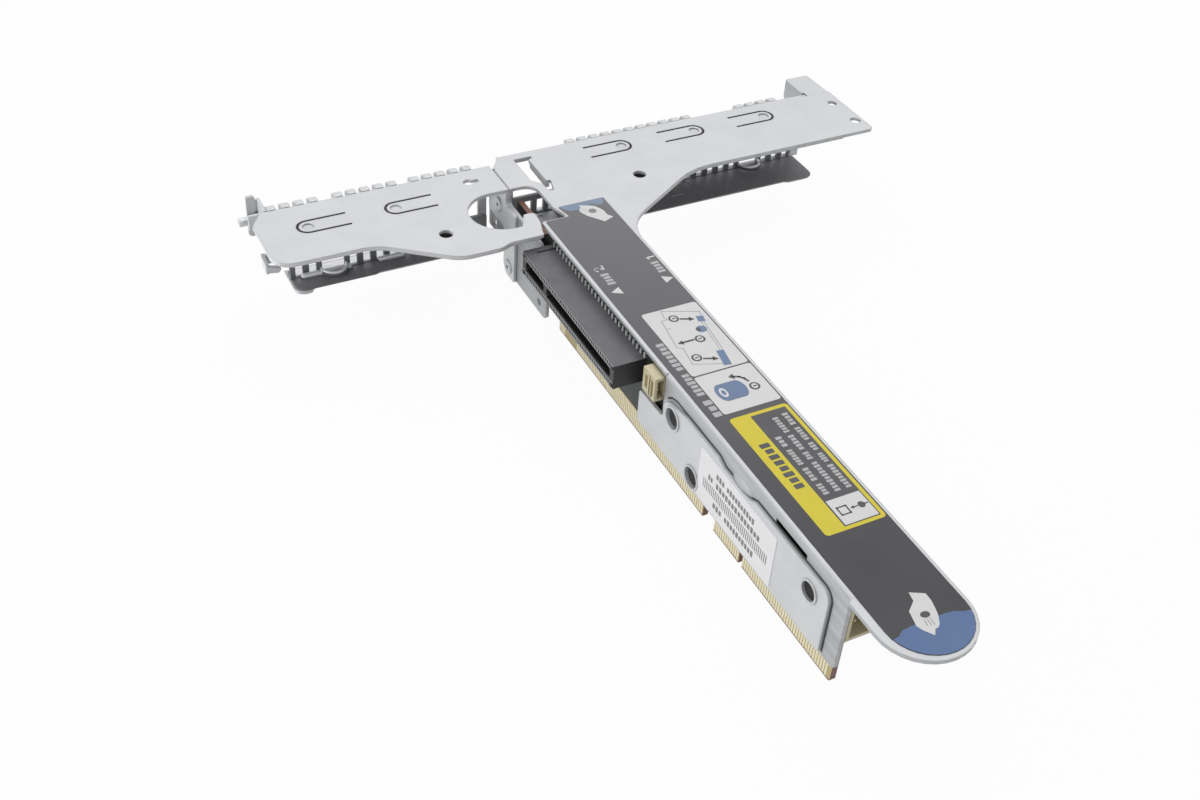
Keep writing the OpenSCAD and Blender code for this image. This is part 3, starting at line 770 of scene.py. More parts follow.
@dataclass
class Artwork:
    """Printed layers of one label.

    Outlines are in millimetres: u and v run along the label's own axes, from its corner at the
    lowest X and the highest Y and Z.

    Attributes:
        name: Start of the pieces' names.
        node: Node of the label.
        slot: Name of the record slot of the printed pieces.
        axes: Frame directions of u, of v and away from the label.
        step: Thickness of a layer, in millimetres.
        layers: Ink, layer number and outlines of each printed layer.
    """

    name: str
    node: str
    slot: str
    axes: tuple[tuple[int, int, int], ...]
    step: float = 0.02
    layers: list[tuple[Ink, int, list[np.ndarray]]] = field(default_factory=list)

    def place(self) -> np.ndarray:
        """Works out where the label's plane lies.

        Returns:
            4 by 4 matrix from label millimetres (u, v, height) to frame metres.
        """
        low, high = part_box(self.node)
        matrix = np.eye(4)
        matrix[:3, :3] = np.array(self.axes).T * MM
        matrix[:3, 3] = (low[0], high[1], high[2])
        return matrix

    def print(self, ink: Ink, layer: int, outlines: list[np.ndarray]) -> None:
        """Adds outlines to the artwork."""
        self.layers.append((ink, layer, outlines))

    def draw(self) -> None:
        """Prints the whole artwork; each label has its own."""
        raise NotImplementedError(self.name)

    def build(self) -> None:
        """Makes one piece of each ink and layer and rides it on the cage."""
        self.draw()
        groups: dict[tuple[Ink, int], list[np.ndarray]] = {}
        for ink, layer, outlines in self.layers:
            groups.setdefault((ink, layer), []).extend(outlines)
        for (ink, layer), outlines in groups.items():
            name = f"{self.name}_{ink.name.lower()}_{layer}"
            piece = film_mesh(name, outlines, layer * self.step, self.step, self.place())
            piece.data.materials.append(ink.value.build())
            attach(piece, "root")
            LOG.info("printed %s", name)


@dataclass
class TopLabel(Artwork):
    """Artwork of the arm's long label: touch points, panels and bay arrows.

    u runs to the right from the label's left edge, and v forward from its rear edge, towards the
    arm's round end. What every label has is told at Artwork.

    Attributes:
        panel_left: Left edge of the panels.
        panel_right: Right edge of the panels.
        disc_radius: Radius of the small discs.
        border: Bare rim round the front field.
    """

    name: str = "top_print"
    node: str = "top_label"
    slot: str = "label_film"
    axes: tuple[tuple[int, int, int], ...] = ((1, 0, 0), (0, -1, 0), (0, 0, 1))
    panel_left: float = 4.2
    panel_right: float = 20.5
    disc_radius: float = 1.4
    border: float = 0.1

    def draw(self) -> None:
        """Prints the label from its rear edge to its front."""
        self.rear_touch_point()
        self.bay_arrows()
        self.side_words()
        self.removal_panel()
        self.latch_panel()
        self.yellow_panel()
        self.front_touch_point()

    def rear_touch_point(self) -> None:
        """Blue field of two lobes on the rear edge, with a pale grip mark."""
        right = arc((18.3, 0.6), (2.1, 2.7), 0, 150, 8)
        left = arc((10.4, 0.4), (3.4, 3.0), 30, 175, 8)
        self.print(Ink.BLUE, 0, [np.concatenate([[[6.7, 0.15], [20.4, 0.15]], right, left])])
        grip = np.array(
            [[12.3, 1.4], [15.2, 2.6], [16.5, 3.4], [17.5, 5.3], [17.9, 6.6], [17.9, 8.6], [19.0, 10.4],
             [15.6, 11.7], [14.4, 10.0], [12.3, 7.4], [11.2, 4.7], [11.5, 3.5], [12.5, 2.6]]
        )
        self.print(Ink.WHITE, 1, [grip])
        self.print(Ink.GREY, 2, [ellipse((14.8, 5.5), (1.2, 1.15))])
        folds = [np.array([[11.9, 4.2], [13.2, 5.2]]), np.array([[12.3, 3.2], [13.6, 4.3]])]
        self.print(Ink.PALE, 2, [outline for fold in folds for outline in stroke(fold, 0.16)])

    def bay_arrows(self) -> None:
        """Arrow heads, plain bay numbers and a row of blocks on both sides."""
        left = np.array([[1.7, 43.1], [4.6, 41.5], [4.6, 44.7]])
        right = np.array([[20.5, 43.1], [17.6, 41.5], [17.6, 44.7]])
        self.print(Ink.WHITE, 0, [left, right])
        two = [[2.7, 33.1], [2.2, 32.5], [2.3, 31.7], [3.0, 31.3], [3.7, 31.8], [4.8, 33.1], [4.8, 31.1]]
        one = [[17.9, 32.2], [20.3, 32.2]]
        serif = [[17.9, 32.2], [18.5, 33.0]]
        for path, width in ((two, 0.42), (one, 0.5), (serif, 0.4)):
            self.print(Ink.WHITE, 0, stroke(np.array(path), width))
        for low, high in (((2.5, 34.4), (4.9, 40.0)), ((17.9, 34.4), (20.2, 40.0))):
            self.print(Ink.PALE, 0, letters(low, high, 4))

    def side_words(self) -> None:
        """Three rows of pale blocks beside the white panels."""
        for start, end, count in ((67.3, 79.3, 7), (80.6, 89.8, 6), (91.4, 98.4, 3)):
            self.print(Ink.PALE, 0, letters((1.6, start), (3.9, end), count))

    def disc(self, centre: Pair) -> None:
        """Dark disc with a pale ring and a short mark inside.

        Args:
            centre: Its middle.
        """
        u, v = centre
        self.print(Ink.DARK, 2, [ellipse(centre, (self.disc_radius, self.disc_radius))])
        self.print(Ink.WHITE, 3, [ellipse(centre, (0.85, 0.95), 20)])
        self.print(Ink.DARK, 4, [rounded_box((u - 0.5, v - 0.2), (u + 0.6, v + 0.2), 0.1)])

    def removal_panel(self) -> None:
        """White panel with a plain outline drawing, arrows and discs."""
        panel = rounded_box((self.panel_left, 55.0), (self.panel_right, 82.5), 0.8)
        self.print(Ink.WHITE, 0, [panel])
        tray = [
            [19.0, 61.0], [19.4, 59.4], [10.0, 55.5], [9.4, 58.1], [9.7, 59.4],
            [8.0, 59.4], [6.3, 70.8], [7.7, 71.5], [6.7, 78.1], [14.0, 80.8],
        ]
        rails = [[[18.3, 63.5], [16.9, 75.9]], [[17.6, 63.5], [16.2, 75.7]]]
        for path in (tray, *rails, [[7.8, 62.9], [8.8, 63.1]]):
            self.print(Ink.GREY, 1, stroke(np.array(path), 0.15))
        blocks = [
            np.array([[17.4, 60.9], [19.3, 61.3], [18.9, 63.6], [16.9, 63.2]]),
            np.array([[15.0, 75.6], [17.0, 76.0], [16.0, 81.9], [13.9, 81.5]]),
            ellipse((16.1, 66.2), (1.5, 1.35)),
        ]
        self.print(Ink.BLUE, 2, blocks)
        self.print(Ink.DARK, 3, [ellipse((15.2, 66.1), (0.6, 0.8), 16)])
        for centre in ((11.5, 59.6), (13.7, 69.7), (9.0, 76.2)):
            self.disc(centre)
        ways = (((13.2, 60.4), (16.6, 61.8)), ((11.9, 69.4), (7.3, 69.4)), ((10.6, 77.2), (14.1, 78.6)))
        for tail, tip in ways:
            self.print(Ink.DARK, 2, arrow(tail, tip, 0.6))

    def latch_panel(self) -> None:
        """Smaller white panel with a blue drum and a curved arrow."""
        self.print(Ink.WHITE, 0, [rounded_box((self.panel_left, 83.0), (self.panel_right, 98.1), 0.8)])
        for ink, layer, grow in ((Ink.GREY, 1, 0.14), (Ink.BLUE, 2, 0.0)):
            left = arc((8.2, 90.8), (1.7 + grow, 3.1 + grow), 90, 270, 14)
            right = arc((12.9, 90.8), (1.7 + grow, 3.1 + grow), -90, 90, 14)
            self.print(ink, layer, [np.concatenate([left, right])])
        rim = arc((8.2, 90.8), (1.7, 3.1), -80, 80, 10)
        self.print(Ink.GREY, 3, stroke(rim, 0.12))
        self.print(Ink.WHITE, 3, [ellipse((8.3, 90.8), (1.0, 1.8))])
        self.print(Ink.BLUE, 4, [ellipse((8.3, 90.8), (0.5, 1.0), 16)])
        sweep = stroke(np.array([[16.3, 89.1], [15.9, 87.9], [15.0, 86.9], [13.8, 86.3]]), 0.6)
        head = np.array([[12.4, 86.0], [14.0, 85.2], [13.7, 87.3]])
        self.print(Ink.DARK, 2, sweep + [head])
        self.disc((16.8, 91.5))

    def yellow_panel(self) -> None:
        """Yellow field with a dark box of block rows and a pale box of plain symbols."""
        self.print(Ink.YELLOW, 0, [rounded_box((self.panel_left, 100.0), (self.panel_right, 142.5), 1.0)])
        self.print(Ink.DARK, 1, [rounded_box((9.7, 101.1), (19.5, 141.5), 0.2)])
        self.print(Ink.WHITE, 2, [rounded_box((10.1, 133.1), (19.2, 141.2), 0.15)])
        rows = {
            11.0: ((109.8, 113.8, 3), (114.8, 120.6, 6), (121.6, 126.4, 4), (127.4, 131.3, 4)),
            14.1: ((103.6, 109.6, 6), (110.5, 116.2, 5), (117.0, 119.8, 3), (120.7, 131.4, 10)),
            17.1: (
                (103.0, 107.8, 4), (108.7, 113.7, 5), (114.6, 117.6, 3), (118.6, 122.0, 4),
                (122.9, 131.4, 8),
            ),
        }
        for u, words in rows.items():
            for start, end, count in words:
                self.print(Ink.PALE, 2, letters((u, start), (u + 1.6, end), count))
        self.print(Ink.DARK, 1, letters((6.0, 110.4), (8.7, 127.4), 8))
        square = [[11.2, 135.9], [13.6, 135.9], [13.6, 138.3], [11.2, 138.3], [11.2, 135.9]]
        self.print(Ink.DARK, 3, stroke(np.array(square), 0.4))
        self.print(Ink.DARK, 3, [ellipse((17.2, 137.1), (0.9, 1.0), 16)])
        self.print(Ink.DARK, 3, stroke(np.array([[18.0, 137.1], [18.8, 137.1]]), 0.35))
        self.print(Ink.DARK, 3, arrow((16.0, 137.1), (14.2, 137.1), 0.35))

    def front_touch_point(self) -> None:
        """Blue field over the round end with a pale grip mark."""
        low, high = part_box("top_label")
        width = (high[0] - low[0]) / MM
        length = (high[1] - low[1]) / MM
        radius = width / 2 - self.border
        middle = (width / 2, length - width / 2)
        rear = [[1.9, 172.6], [3.6, 171.5], [6.2, 171.3], [14.6, 171.3], [16.9, 171.6], [18.6, 172.4]]
        self.print(Ink.BLUE, 0, [np.concatenate([arc(middle, (radius, radius), 14, 166, 30), rear])])
        grip = np.array(
            [
                [11.1, 163.4], [14.3, 165.1], [14.2, 167.3], [13.6, 169.6], [13.1, 171.1], [11.9, 173.2],
                [11.1, 173.9], [10.2, 174.0], [9.1, 175.4], [7.5, 173.1], [7.0, 171.7], [8.0, 167.8],
                [10.6, 165.8],
            ]
        )
        self.print(Ink.WHITE, 1, [grip])
        self.print(Ink.DARK, 2, [ellipse((10.6, 169.9), (1.15, 0.85))])
        folds = [np.array([[9.6 + 0.7 * i, 171.0], [9.2 + 0.8 * i, 172.6 + 0.2 * i]]) for i in range(3)]
        self.print(Ink.GREY, 2, [outline for fold in folds for outline in stroke(fold, 0.14)])


@dataclass
class SideLabel(Artwork):
    """Artwork of the pale label on the side plate: rows of blocks and a field of even bars.

    u runs forward from the label's rear edge, and v down from its top edge. What every label has is
    told at Artwork.

    Attributes:
        bar_pitch: Distance between the bars.
    """

    name: str = "side_print"
    node: str = "side_label"
    slot: str = "label_paper"
    axes: tuple[tuple[int, int, int], ...] = ((0, -1, 0), (0, 0, -1), (-1, 0, 0))
    bar_pitch: float = 0.8

    def draw(self) -> None:
        """Prints three rows of blocks and the bars."""
        rows = (
            (2.3, 7.7, 11.6, 3), (2.3, 12.6, 25.1, 10), (5.1, 4.4, 6.6, 2),
            (5.1, 8.0, 28.1, 14), (11.6, 7.7, 12.0, 3), (11.6, 13.2, 26.6, 10),
        )
        for v, start, end, count in rows:
            blocks = letters((v, start), (v + 1.8, end), count)
            self.print(Ink.GREY, 0, [block[::-1, ::-1] for block in blocks])
        width = 0.4 * self.bar_pitch
        starts = np.arange(2.6, 32.0, self.bar_pitch)
        self.print(Ink.GREY, 0, [rounded_box((u, 7.7), (u + width, 10.7), 0.05) for u in starts])


# ---------------------------------------------------------------- small solids
def place_mesh(name: str, points: np.ndarray, faces: Faces, finish: Finish, slot: str) -> Piece:
    """Puts points and faces into a dressed piece that rides on the cage.

    Args:
        name: Name of the piece.
        points: Points in frame millimetres.
        faces: Faces as tuples of point numbers.
        finish: Its finish.
        slot: Not used.

    Returns:
        The new object, with its faces turned outwards.
    """
    piece = new_piece(name, points * MM, faces)
    mesh = bmesh.new()
    mesh.from_mesh(piece.data)
    bmesh.ops.recalc_face_normals(mesh, faces=mesh.faces)
    mesh.to_mesh(piece.data)
    mesh.free()
    piece.data.materials.append(finish.build())
    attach(piece, "root")
    LOG.info("made %s", name)
    return piece


def smooth(piece: Piece) -> None:
    """Shades every face of a piece smoothly."""
    piece.data.polygons.foreach_set("use_smooth", np.ones(len(piece.data.polygons), dtype=bool))


def turn(steps: int) -> np.ndarray:
    """Angles of a full turn, without the repeated last one."""
    return np.linspace(0, 2 * np.pi, steps, endpoint=False)


def grid_faces(rows: int, columns: int, wrap_rows: bool, wrap_columns: bool) -> Faces:
    """Quads over a grid of points that is stored row by row.

    Args:
        rows: Number of rows.
        columns: Number of points in a row.
        wrap_rows: Whether the last row joins the first.
        wrap_columns: Whether the last column joins the first.

    Returns:
        The quads, whose order of points follows rows then columns.
    """
    index = np.arange(rows * columns).reshape(rows, columns)
    if wrap_rows:
        index = np.vstack([index, index[:1]])
    if wrap_columns:
        index = np.hstack([index, index[:, :1]])
    quads = np.stack([index[:-1, :-1], index[:-1, 1:], index[1:, 1:], index[1:, :-1]], axis=-1)
    return [tuple(quad) for quad in quads.reshape(-1, 4).tolist()]


def tube_faces(rows: int, columns: int) -> Faces:
    """Quads between closed rings of points, and a flat cap over the first and the last ring.

    Args:
        rows: Number of rings.
        columns: Number of points in a ring.

    Returns:
        The quads and both caps.
    """
    last = (rows - 1) * columns
    caps = [tuple(range(columns)), tuple(range(last + columns - 1, last - 1, -1))]
    return grid_faces(rows, columns, False, True) + caps


def boxes(corners: list[tuple[Point, Point]]) -> tuple[np.ndarray, Faces]:
    """Boxes between low and high corners: each point is low + unit * (high - low).

    Args:
        corners: Low and high corner of each box.

    Returns:
        Points and faces of all boxes together.
    """
    unit = np.array([[x, y, z] for z in (0, 1) for y in (0, 1) for x in (0, 1)], dtype=float)
    sides = np.array([[0, 2, 3, 1], [4, 5, 7, 6], [0, 1, 5, 4], [2, 6, 7, 3], [0, 4, 6, 2], [1, 3, 7, 5]])
    low, high = (np.array([c[k] for c in corners], dtype=float)[:, None, :] for k in (0, 1))
    points = (low + unit[None] * (high - low)).reshape(-1, 3)
    faces = (sides[None] + 8 * np.arange(len(corners))[:, None, None]).reshape(-1, 4)
    return points, [tuple(face) for face in faces.tolist()]


def ring(centre: Pair, profile: np.ndarray, steps: int) -> tuple[np.ndarray, Faces]:
    """Closed profile (radius, height) turned about a vertical axis through the centre.

    Point (i, j) is centre + r_j * (cos t_i, sin t_i) at height z_j, with t_i even over a turn.

    Args:
        centre: X and Y of the axis.
        profile: Radius and height of each point of the closed profile, counter-clockwise.
        steps: Number of angles.

    Returns:
        Points and faces.
    """
    t = turn(steps)[:, None]
    x = centre[0] + np.cos(t) * profile[None, :, 0]
    y = centre[1] + np.sin(t) * profile[None, :, 0]
    z = np.broadcast_to(profile[None, :, 1], x.shape)
    return np.stack([x, y, z], axis=-1).reshape(-1, 3), grid_faces(steps, len(profile), True, True)


@dataclass
class CageFrame:
    """Cage coordinates: X from the board's middle plane, Y from the rear edge and Z from the top face.

    Attributes:
        ear_mm: How far the ear reaches behind the rear edge.
    """

    ear_mm: float = 10.9

    @property
    def origin(self) -> np.ndarray:
        """Frame position in millimetres of the cage's zero point."""
        high = np.array(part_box("main_bracket")[1]) / MM
        return np.array([0.0, high[1] - self.ear_mm, high[2]])

    def stack(self, x: np.ndarray, y: np.ndarray, z: np.ndarray) -> np.ndarray:
        """Points in frame millimetres of three arrays in cage millimetres."""
        return np.stack(np.broadcast_arrays(x, y, z), axis=-1).reshape(-1, 3) + self.origin


@dataclass
class GasketFingers(CageFrame):
    """Spring fingers on the rear walls, arched back and down from the edge.

    Attributes:
        pitch_mm: Distance between neighbouring fingers.
        width_mm: Width of a finger.
        thick_mm: Thickness of the strip that joins a row.
        strip_mm: Heights of that strip's lower and upper edge below the top face.
        drop_mm: Height of the arch's middle below the top face.
        back_mm: Distance of the arch's middle behind the wall's rear face.
        arch_deg: Angles where the arch starts and ends.
        across: Places of the four sections across a finger, as shares of half its width.
        pull: Share of the arch's size left at each of those sections.
    """

    pitch_mm: float = 4.1
    width_mm: float = 2.6
    thick_mm: float = 0.25
    strip_mm: Pair = (-4.3, -2.6)
    drop_mm: float = 1.75
    back_mm: float = 0.4
    arch_deg: Pair = (-60.0, 112.0)
    across: tuple[float, ...] = (-1.0, -0.8, 0.8, 1.0)
    pull: tuple[float, ...] = (0.82, 1.0, 1.0, 0.82)

    def build(self) -> None:
        """Makes both gaskets: rows of (first middle, count), the wall's Y and the arch's radii."""
        self.gasket("slot_1_gasket", [(25.8, 11), (86.6, 4)], 0.0, (2.4, 1.75))
        self.gasket("slot_2_gasket", [(-69.55, 4), (-49.9, 5), (-26.6, 5)], -3.5, (2.9, 1.95))

    def gasket(self, node: str, rows: list[tuple[float, int]], wall: float, radii: Pair) -> None:
        """Carries the arch's section along X for each finger, with the strip that joins a row.

        The section is (wall + back + a cos t, r sin t - drop) for t over the arch's angles, closed
        by its chord, so that the fingers' curled sides are shut.

        Args:
            node: Node that the fingers stand for.
            rows: First middle and count of each row.
            wall: Y of the wall's rear face.
            radii: Radii of the arch along Y and Z.
        """
        section = arc((wall + self.back_mm, -self.drop_mm), radii, *self.arch_deg, 12)
        centre = section.mean(axis=0)
        rounds = centre + (section - centre)[None] * np.array(self.pull)[:, None, None]
        across = np.array(self.across) * self.width_mm / 2
        middles = np.concatenate([first + self.pitch_mm * np.arange(count) for first, count in rows])
        x = middles[:, None, None] + across[None, :, None]
        points = self.stack(x, rounds[None, ..., 0], rounds[None, ..., 1])
        one = tube_faces(len(across), len(section))
        size = len(across) * len(section)
        faces = [tuple(i + k * size for i in face) for k in range(len(middles)) for face in one]
        foot, head = self.strip_mm
        half = self.width_mm / 2
        strips = [
            (
                (first - half, wall, foot),
                (first + self.pitch_mm * (count - 1) + half, wall + self.thick_mm, head),
            )
            for first, count in rows
        ]
        more, more_faces = boxes(strips)
        faces += [tuple(i + len(points) for i in face) for face in more_faces]
        points = np.concatenate([points, more + self.origin])
        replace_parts(place_mesh(f"{node}_fingers", points, faces, SPRING_STEEL, "spring_steel"), node)


@dataclass
class LocatingBushes(CageFrame):
    """Bushes pressed into the underside of the top plates at the two locating holes, painted black as
    shade.

    Attributes:
        wall_mm: Thickness of a bush.
        depth_mm: How far it reaches below the sheet.
        pitch_mm: Pitch of the thread's grooves.
        gap_mm: Clearance to the sheet and the hole.
        holes: Mounts that have a bush.
    """

    wall_mm: float = 0.9
    depth_mm: float = 4.2
    pitch_mm: float = 0.6
    gap_mm: float = 0.02
    holes: tuple[str, ...] = ("full_height_locating_hole", "low_profile_locating_hole")

    def build(self) -> None:
        """Makes one bush under each hole."""
        for mount in frame["record"]["mounts"]:
            if mount["name"] in self.holes:
                self.bush(mount)

    def bush(self, mount: dict) -> None:
        """Turns a grooved tube: the inner radius swings by a sixth of the pitch, once a pitch.

        Args:
            mount: The hole's mount in the record.
        """
        x, y, _ = (value / MM for value in mount["pos_m"])
        radius = mount["dims"]["r_mm"]
        top = self.origin[2] - mount["dims"]["length_mm"] - self.gap_mm
        down = np.linspace(0, self.depth_mm, 29)
        swing = self.pitch_mm / 6 * (1 - np.cos(2 * np.pi * down / self.pitch_mm)) / 2
        inner = np.column_stack([radius + self.gap_mm + swing, top - down])
        outside = radius + self.wall_mm
        profile = np.concatenate([inner, [[outside, top - self.depth_mm], [outside, top]]])
        place_mesh(f"bush_{mount['name']}", *ring((x, y), profile, 28), BUSH_PAINTED_SHADE, "rivet_steel")


@dataclass
class CoverEdges(CageFrame):
    """Rolled beads on the low-profile cover's foot, both pull loops' rims and the bare shelf strip.

    Attributes:
        cover_y: Front face of the low-profile cover.
        film_z: Top of the shelf's film.
        loops: X and Y of the middle of each cover's pull loop.
        beads: X of both ends of each bead.
        strip: Lowest and highest corner of the bare strip.
        radius_mm: Radius of a bead.
        seat_mm: How far a bead's middle stands before the cover, and how deep it sits in the film.
        loop_radius_mm: Radius of a pull loop's middle line.
        rim_mm: Radius of a loop's rim.
        rim_lift_mm: Height of the rim over the film.
    """

    cover_y: float = -8.8
    film_z: float = -21.35
    loops: tuple[Pair, ...] = ((90.3, -3.0), (-54.4, -8.8))
    beads: tuple[Pair, ...] = ((-64.6, -49.0), (-41.2, -32.8))
    strip: tuple[Point, Point] = ((-65.4, -7.75, -21.33), (-8.0, -4.55, -21.25))
    radius_mm: float = 0.9
    seat_mm: Pair = (0.75, 0.1)
    loop_radius_mm: float = 3.85
    rim_mm: float = 0.45
    rim_lift_mm: float = 1.75

    def build(self) -> None:
        """Makes the two beads, the loops' rims and the strip, all painted bright as highlight."""
        # The beads, rims and strip are painted bright: their highlight, and the light that reaches the
        # strip
        for number, middle in enumerate(self.loops, 1):
            self.loop(f"slot_{number}_loop_rim", middle)
        for number, (start, end) in enumerate(self.beads, 1):
            self.bead(f"cover_bead_{number}", start, end)
        points, faces = boxes([self.strip])
        place_mesh("bare_shelf_strip", points + self.origin, faces, PAINTED_HIGHLIGHT_SHEET, "zinc_sheet")

    def loop(self, name: str, middle: Pair) -> None:
        """Carries a circle of radius a round half a turn: reach (cos t, sin t) with reach R + a cos s.

        Args:
            name: Name of the piece.
            middle: Cage X and Y of the loop's middle.
        """
        t = np.radians(np.linspace(180, 360, 25))[:, None]
        s = turn(12)[None, :]
        reach = self.loop_radius_mm + self.rim_mm * np.cos(s)
        z = self.film_z + self.rim_lift_mm + self.rim_mm * np.sin(s)
        points = self.stack(middle[0] + reach * np.cos(t), middle[1] + reach * np.sin(t), z)
        smooth(place_mesh(name, points, tube_faces(25, 12), PAINTED_HIGHLIGHT_SHEET, "zinc_sheet"))

    def bead(self, name: str, start: float, end: float) -> None:
        """Rolls one bead: a circle of radius a sqrt(1 - |u|**14), u from -1 to 1, closer at both ends.

        Args:
            name: Name of the piece.
            start: Cage X of its left end.
            end: Cage X of its right end.
        """
        u = np.linspace(-1, 1, 25)[:, None]
        u = np.sign(u) * np.sqrt(np.abs(u))
        closing = self.radius_mm * np.sqrt(np.clip(1 - np.abs(u) ** 14, 0.0004, 1))
        s = turn(16)[None, :]
        x = (start + end) / 2 + u * (end - start) / 2
        y = self.cover_y - self.seat_mm[0] + closing * np.cos(s)
        z = self.film_z + self.radius_mm - self.seat_mm[1] + closing * np.sin(s)
        smooth(place_mesh(name, self.stack(x, y, z), tube_faces(25, 16), PAINTED_HIGHLIGHT_SHEET, "zinc_sheet"))


@dataclass
class PaintedHollowShade(CageFrame):
    """Painted shade: dark pieces in the cuts round the spring tongues, the screw holes, the rivets and a
    seam.

    A tongue's place is the tip of its cut and the way that the tip points, 1 or -1 along X.

    Attributes:
        tongues: Place of each tongue.
        cut_mm: Width of a tongue's cut.
        cut_radius_mm: Radius of a cut's middle line.
        cut_width_mm: Width of the painted shade, a little less than the cut.
        cut_length_mm: Length of a cut.
        cut_depth_mm: Heights of the shade piece's upper and lower face.
        holes: Y, Z and the painted shade's radius of the side plate's holes.
        hole_depth_mm: How deep the painted shade in those holes lies.
        rivets: Y and Z of the wall's rivets.
        rivet_radius_mm: Radius of the painted shade in a rivet's centre.
        disc_mm: Thickness of the shade discs in holes and rivets.
        seam_mm: Width of the painted shade along the side plate's seam.
        seam_path: Y and Z along the side plate's top edge, before its front corner.
    """

    tongues: tuple[tuple[float, float, int], ...] = (
        (42.2, -8.2, 1), (67.9, -8.2, 1), (93.6, -8.2, 1), (-66.1, -15.8, -1), (-40.4, -15.8, -1),
    )
    cut_mm: float = 0.75
    cut_radius_mm: float = 2.925
    cut_width_mm: float = 0.7
    cut_length_mm: float = 15.0
    cut_depth_mm: Pair = (-0.15, -0.9)
    holes: tuple[Point, ...] = (
        (-118.0, -9.1, 2.05), (-129.5, -19.2, 2.05), (-180.4, -9.4, 2.25),
    )
    hole_depth_mm: float = 0.65
    rivets: tuple[Pair, ...] = ((-13.8, -7.6), (-21.6, -25.0))
    rivet_radius_mm: float = 0.55
    disc_mm: float = 0.04
    seam_mm: float = 0.5
    seam_path: tuple[Pair, ...] = (
        (-113.6, -6.4), (-115.4, -4.9), (-118.0, -4.2), (-139.4, -4.2), (-142.0, -5.4), (-153.6, -5.4),
        (-156.2, -4.2),
    )

    def build(self) -> None:
        """Puts painted shade in the cuts, the holes, the rivets and the seam."""
        for number, tongue in enumerate(self.tongues, 1):
            self.cut(f"tongue_cut_{number}", *tongue)
        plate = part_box("side_plate")[1][0] / MM
        for number, (y, z, radius) in enumerate(self.holes, 1):
            self.disc(f"screw_hole_{number}", plate - self.hole_depth_mm, (y, z), radius)
        self.seam(plate)
        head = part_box("wall_rivets")[0][0] / MM
        for number, place in enumerate(self.rivets, 1):
            self.disc(f"rivet_centre_{number}", head - self.disc_mm / 2, place, self.rivet_radius_mm)

    def seam(self, face: float) -> None:
        """Carries a flat painted-shade band along the side plate's top and front, offset outwards by its
        width.

        Point (i, j) is p_i + d_j n_i, with n the path's normal and d the band's four offsets.

        Args:
            face: X of the face that the side plate lies on.
        """
        corner = arc((-184.2, -7.2), (3.0, 3.0), 90, 180, 8)
        path = np.concatenate([self.seam_path, corner, [[-187.2, -22.6]]])
        step = np.gradient(path, axis=0)
        step /= np.linalg.norm(step, axis=1)[:, None]
        out = np.stack([step[:, 1], -step[:, 0]], axis=1)[:, None]
        edges = path[:, None] + out * np.array([-0.1, self.seam_mm, self.seam_mm, -0.1])[None, :, None]
        x = face + np.array([-0.07, -0.07, 0.05, 0.05])
        points = self.stack(x[None], edges[..., 0], edges[..., 1])
        place_mesh("side_plate_seam", points, tube_faces(len(path), 4), SEAM_SHADE, "film")

    def cut(self, name: str, tip_x: float, tip_y: float, way: int) -> None:
        """Carries a flat section of painted shade along the U: two straight legs and the half circle
        between.

        Point (i, j) is m_i + r_j n_i, with m the middle of the bend, n the way out and r the
        section's inner or outer radius.

        Args:
            name: Name of the piece.
            tip_x: Cage X of the cut's tip.
            tip_y: Cage Y of the cut's tip.
            way: 1 where the tip points to +X and -1 where it points to -X.
        """
        bend = np.radians(np.linspace(90, -90, 21))
        out = np.stack([np.cos(bend), np.sin(bend)], axis=1)
        out = np.concatenate([out[:1], out, out[-1:]])
        middle = np.full(len(out), -self.cut_radius_mm - self.cut_mm / 2)
        middle[[0, -1]] = 0.03 - self.cut_length_mm
        reach = self.cut_radius_mm + np.array([-0.5, 0.5, 0.5, -0.5]) * self.cut_width_mm
        x = tip_x + way * (middle[:, None] + out[:, :1] * reach[None])
        height = np.repeat(self.cut_depth_mm, 2)[None]
        points = self.stack(x, tip_y + out[:, 1:] * reach[None], height)
        place_mesh(name, points, tube_faces(len(out), 4), PAINTED_SHADE, "film")

    def disc(self, name: str, x: float, place: Pair, radius: float) -> None:
        """Makes a thin round slab of painted shade that faces -X.

        Args:
            name: Name of the piece.
            x: X of its left face.
            place: Cage Y and Z of its middle.
            radius: Its radius.
        """
        rim = ellipse(place, (radius, radius))[None]
        points = self.stack(np.array([x, x + self.disc_mm])[:, None], rim[..., 0], rim[..., 1])
        place_mesh(name, points, tube_faces(2, rim.shape[1]), PAINTED_SHADE, "film")


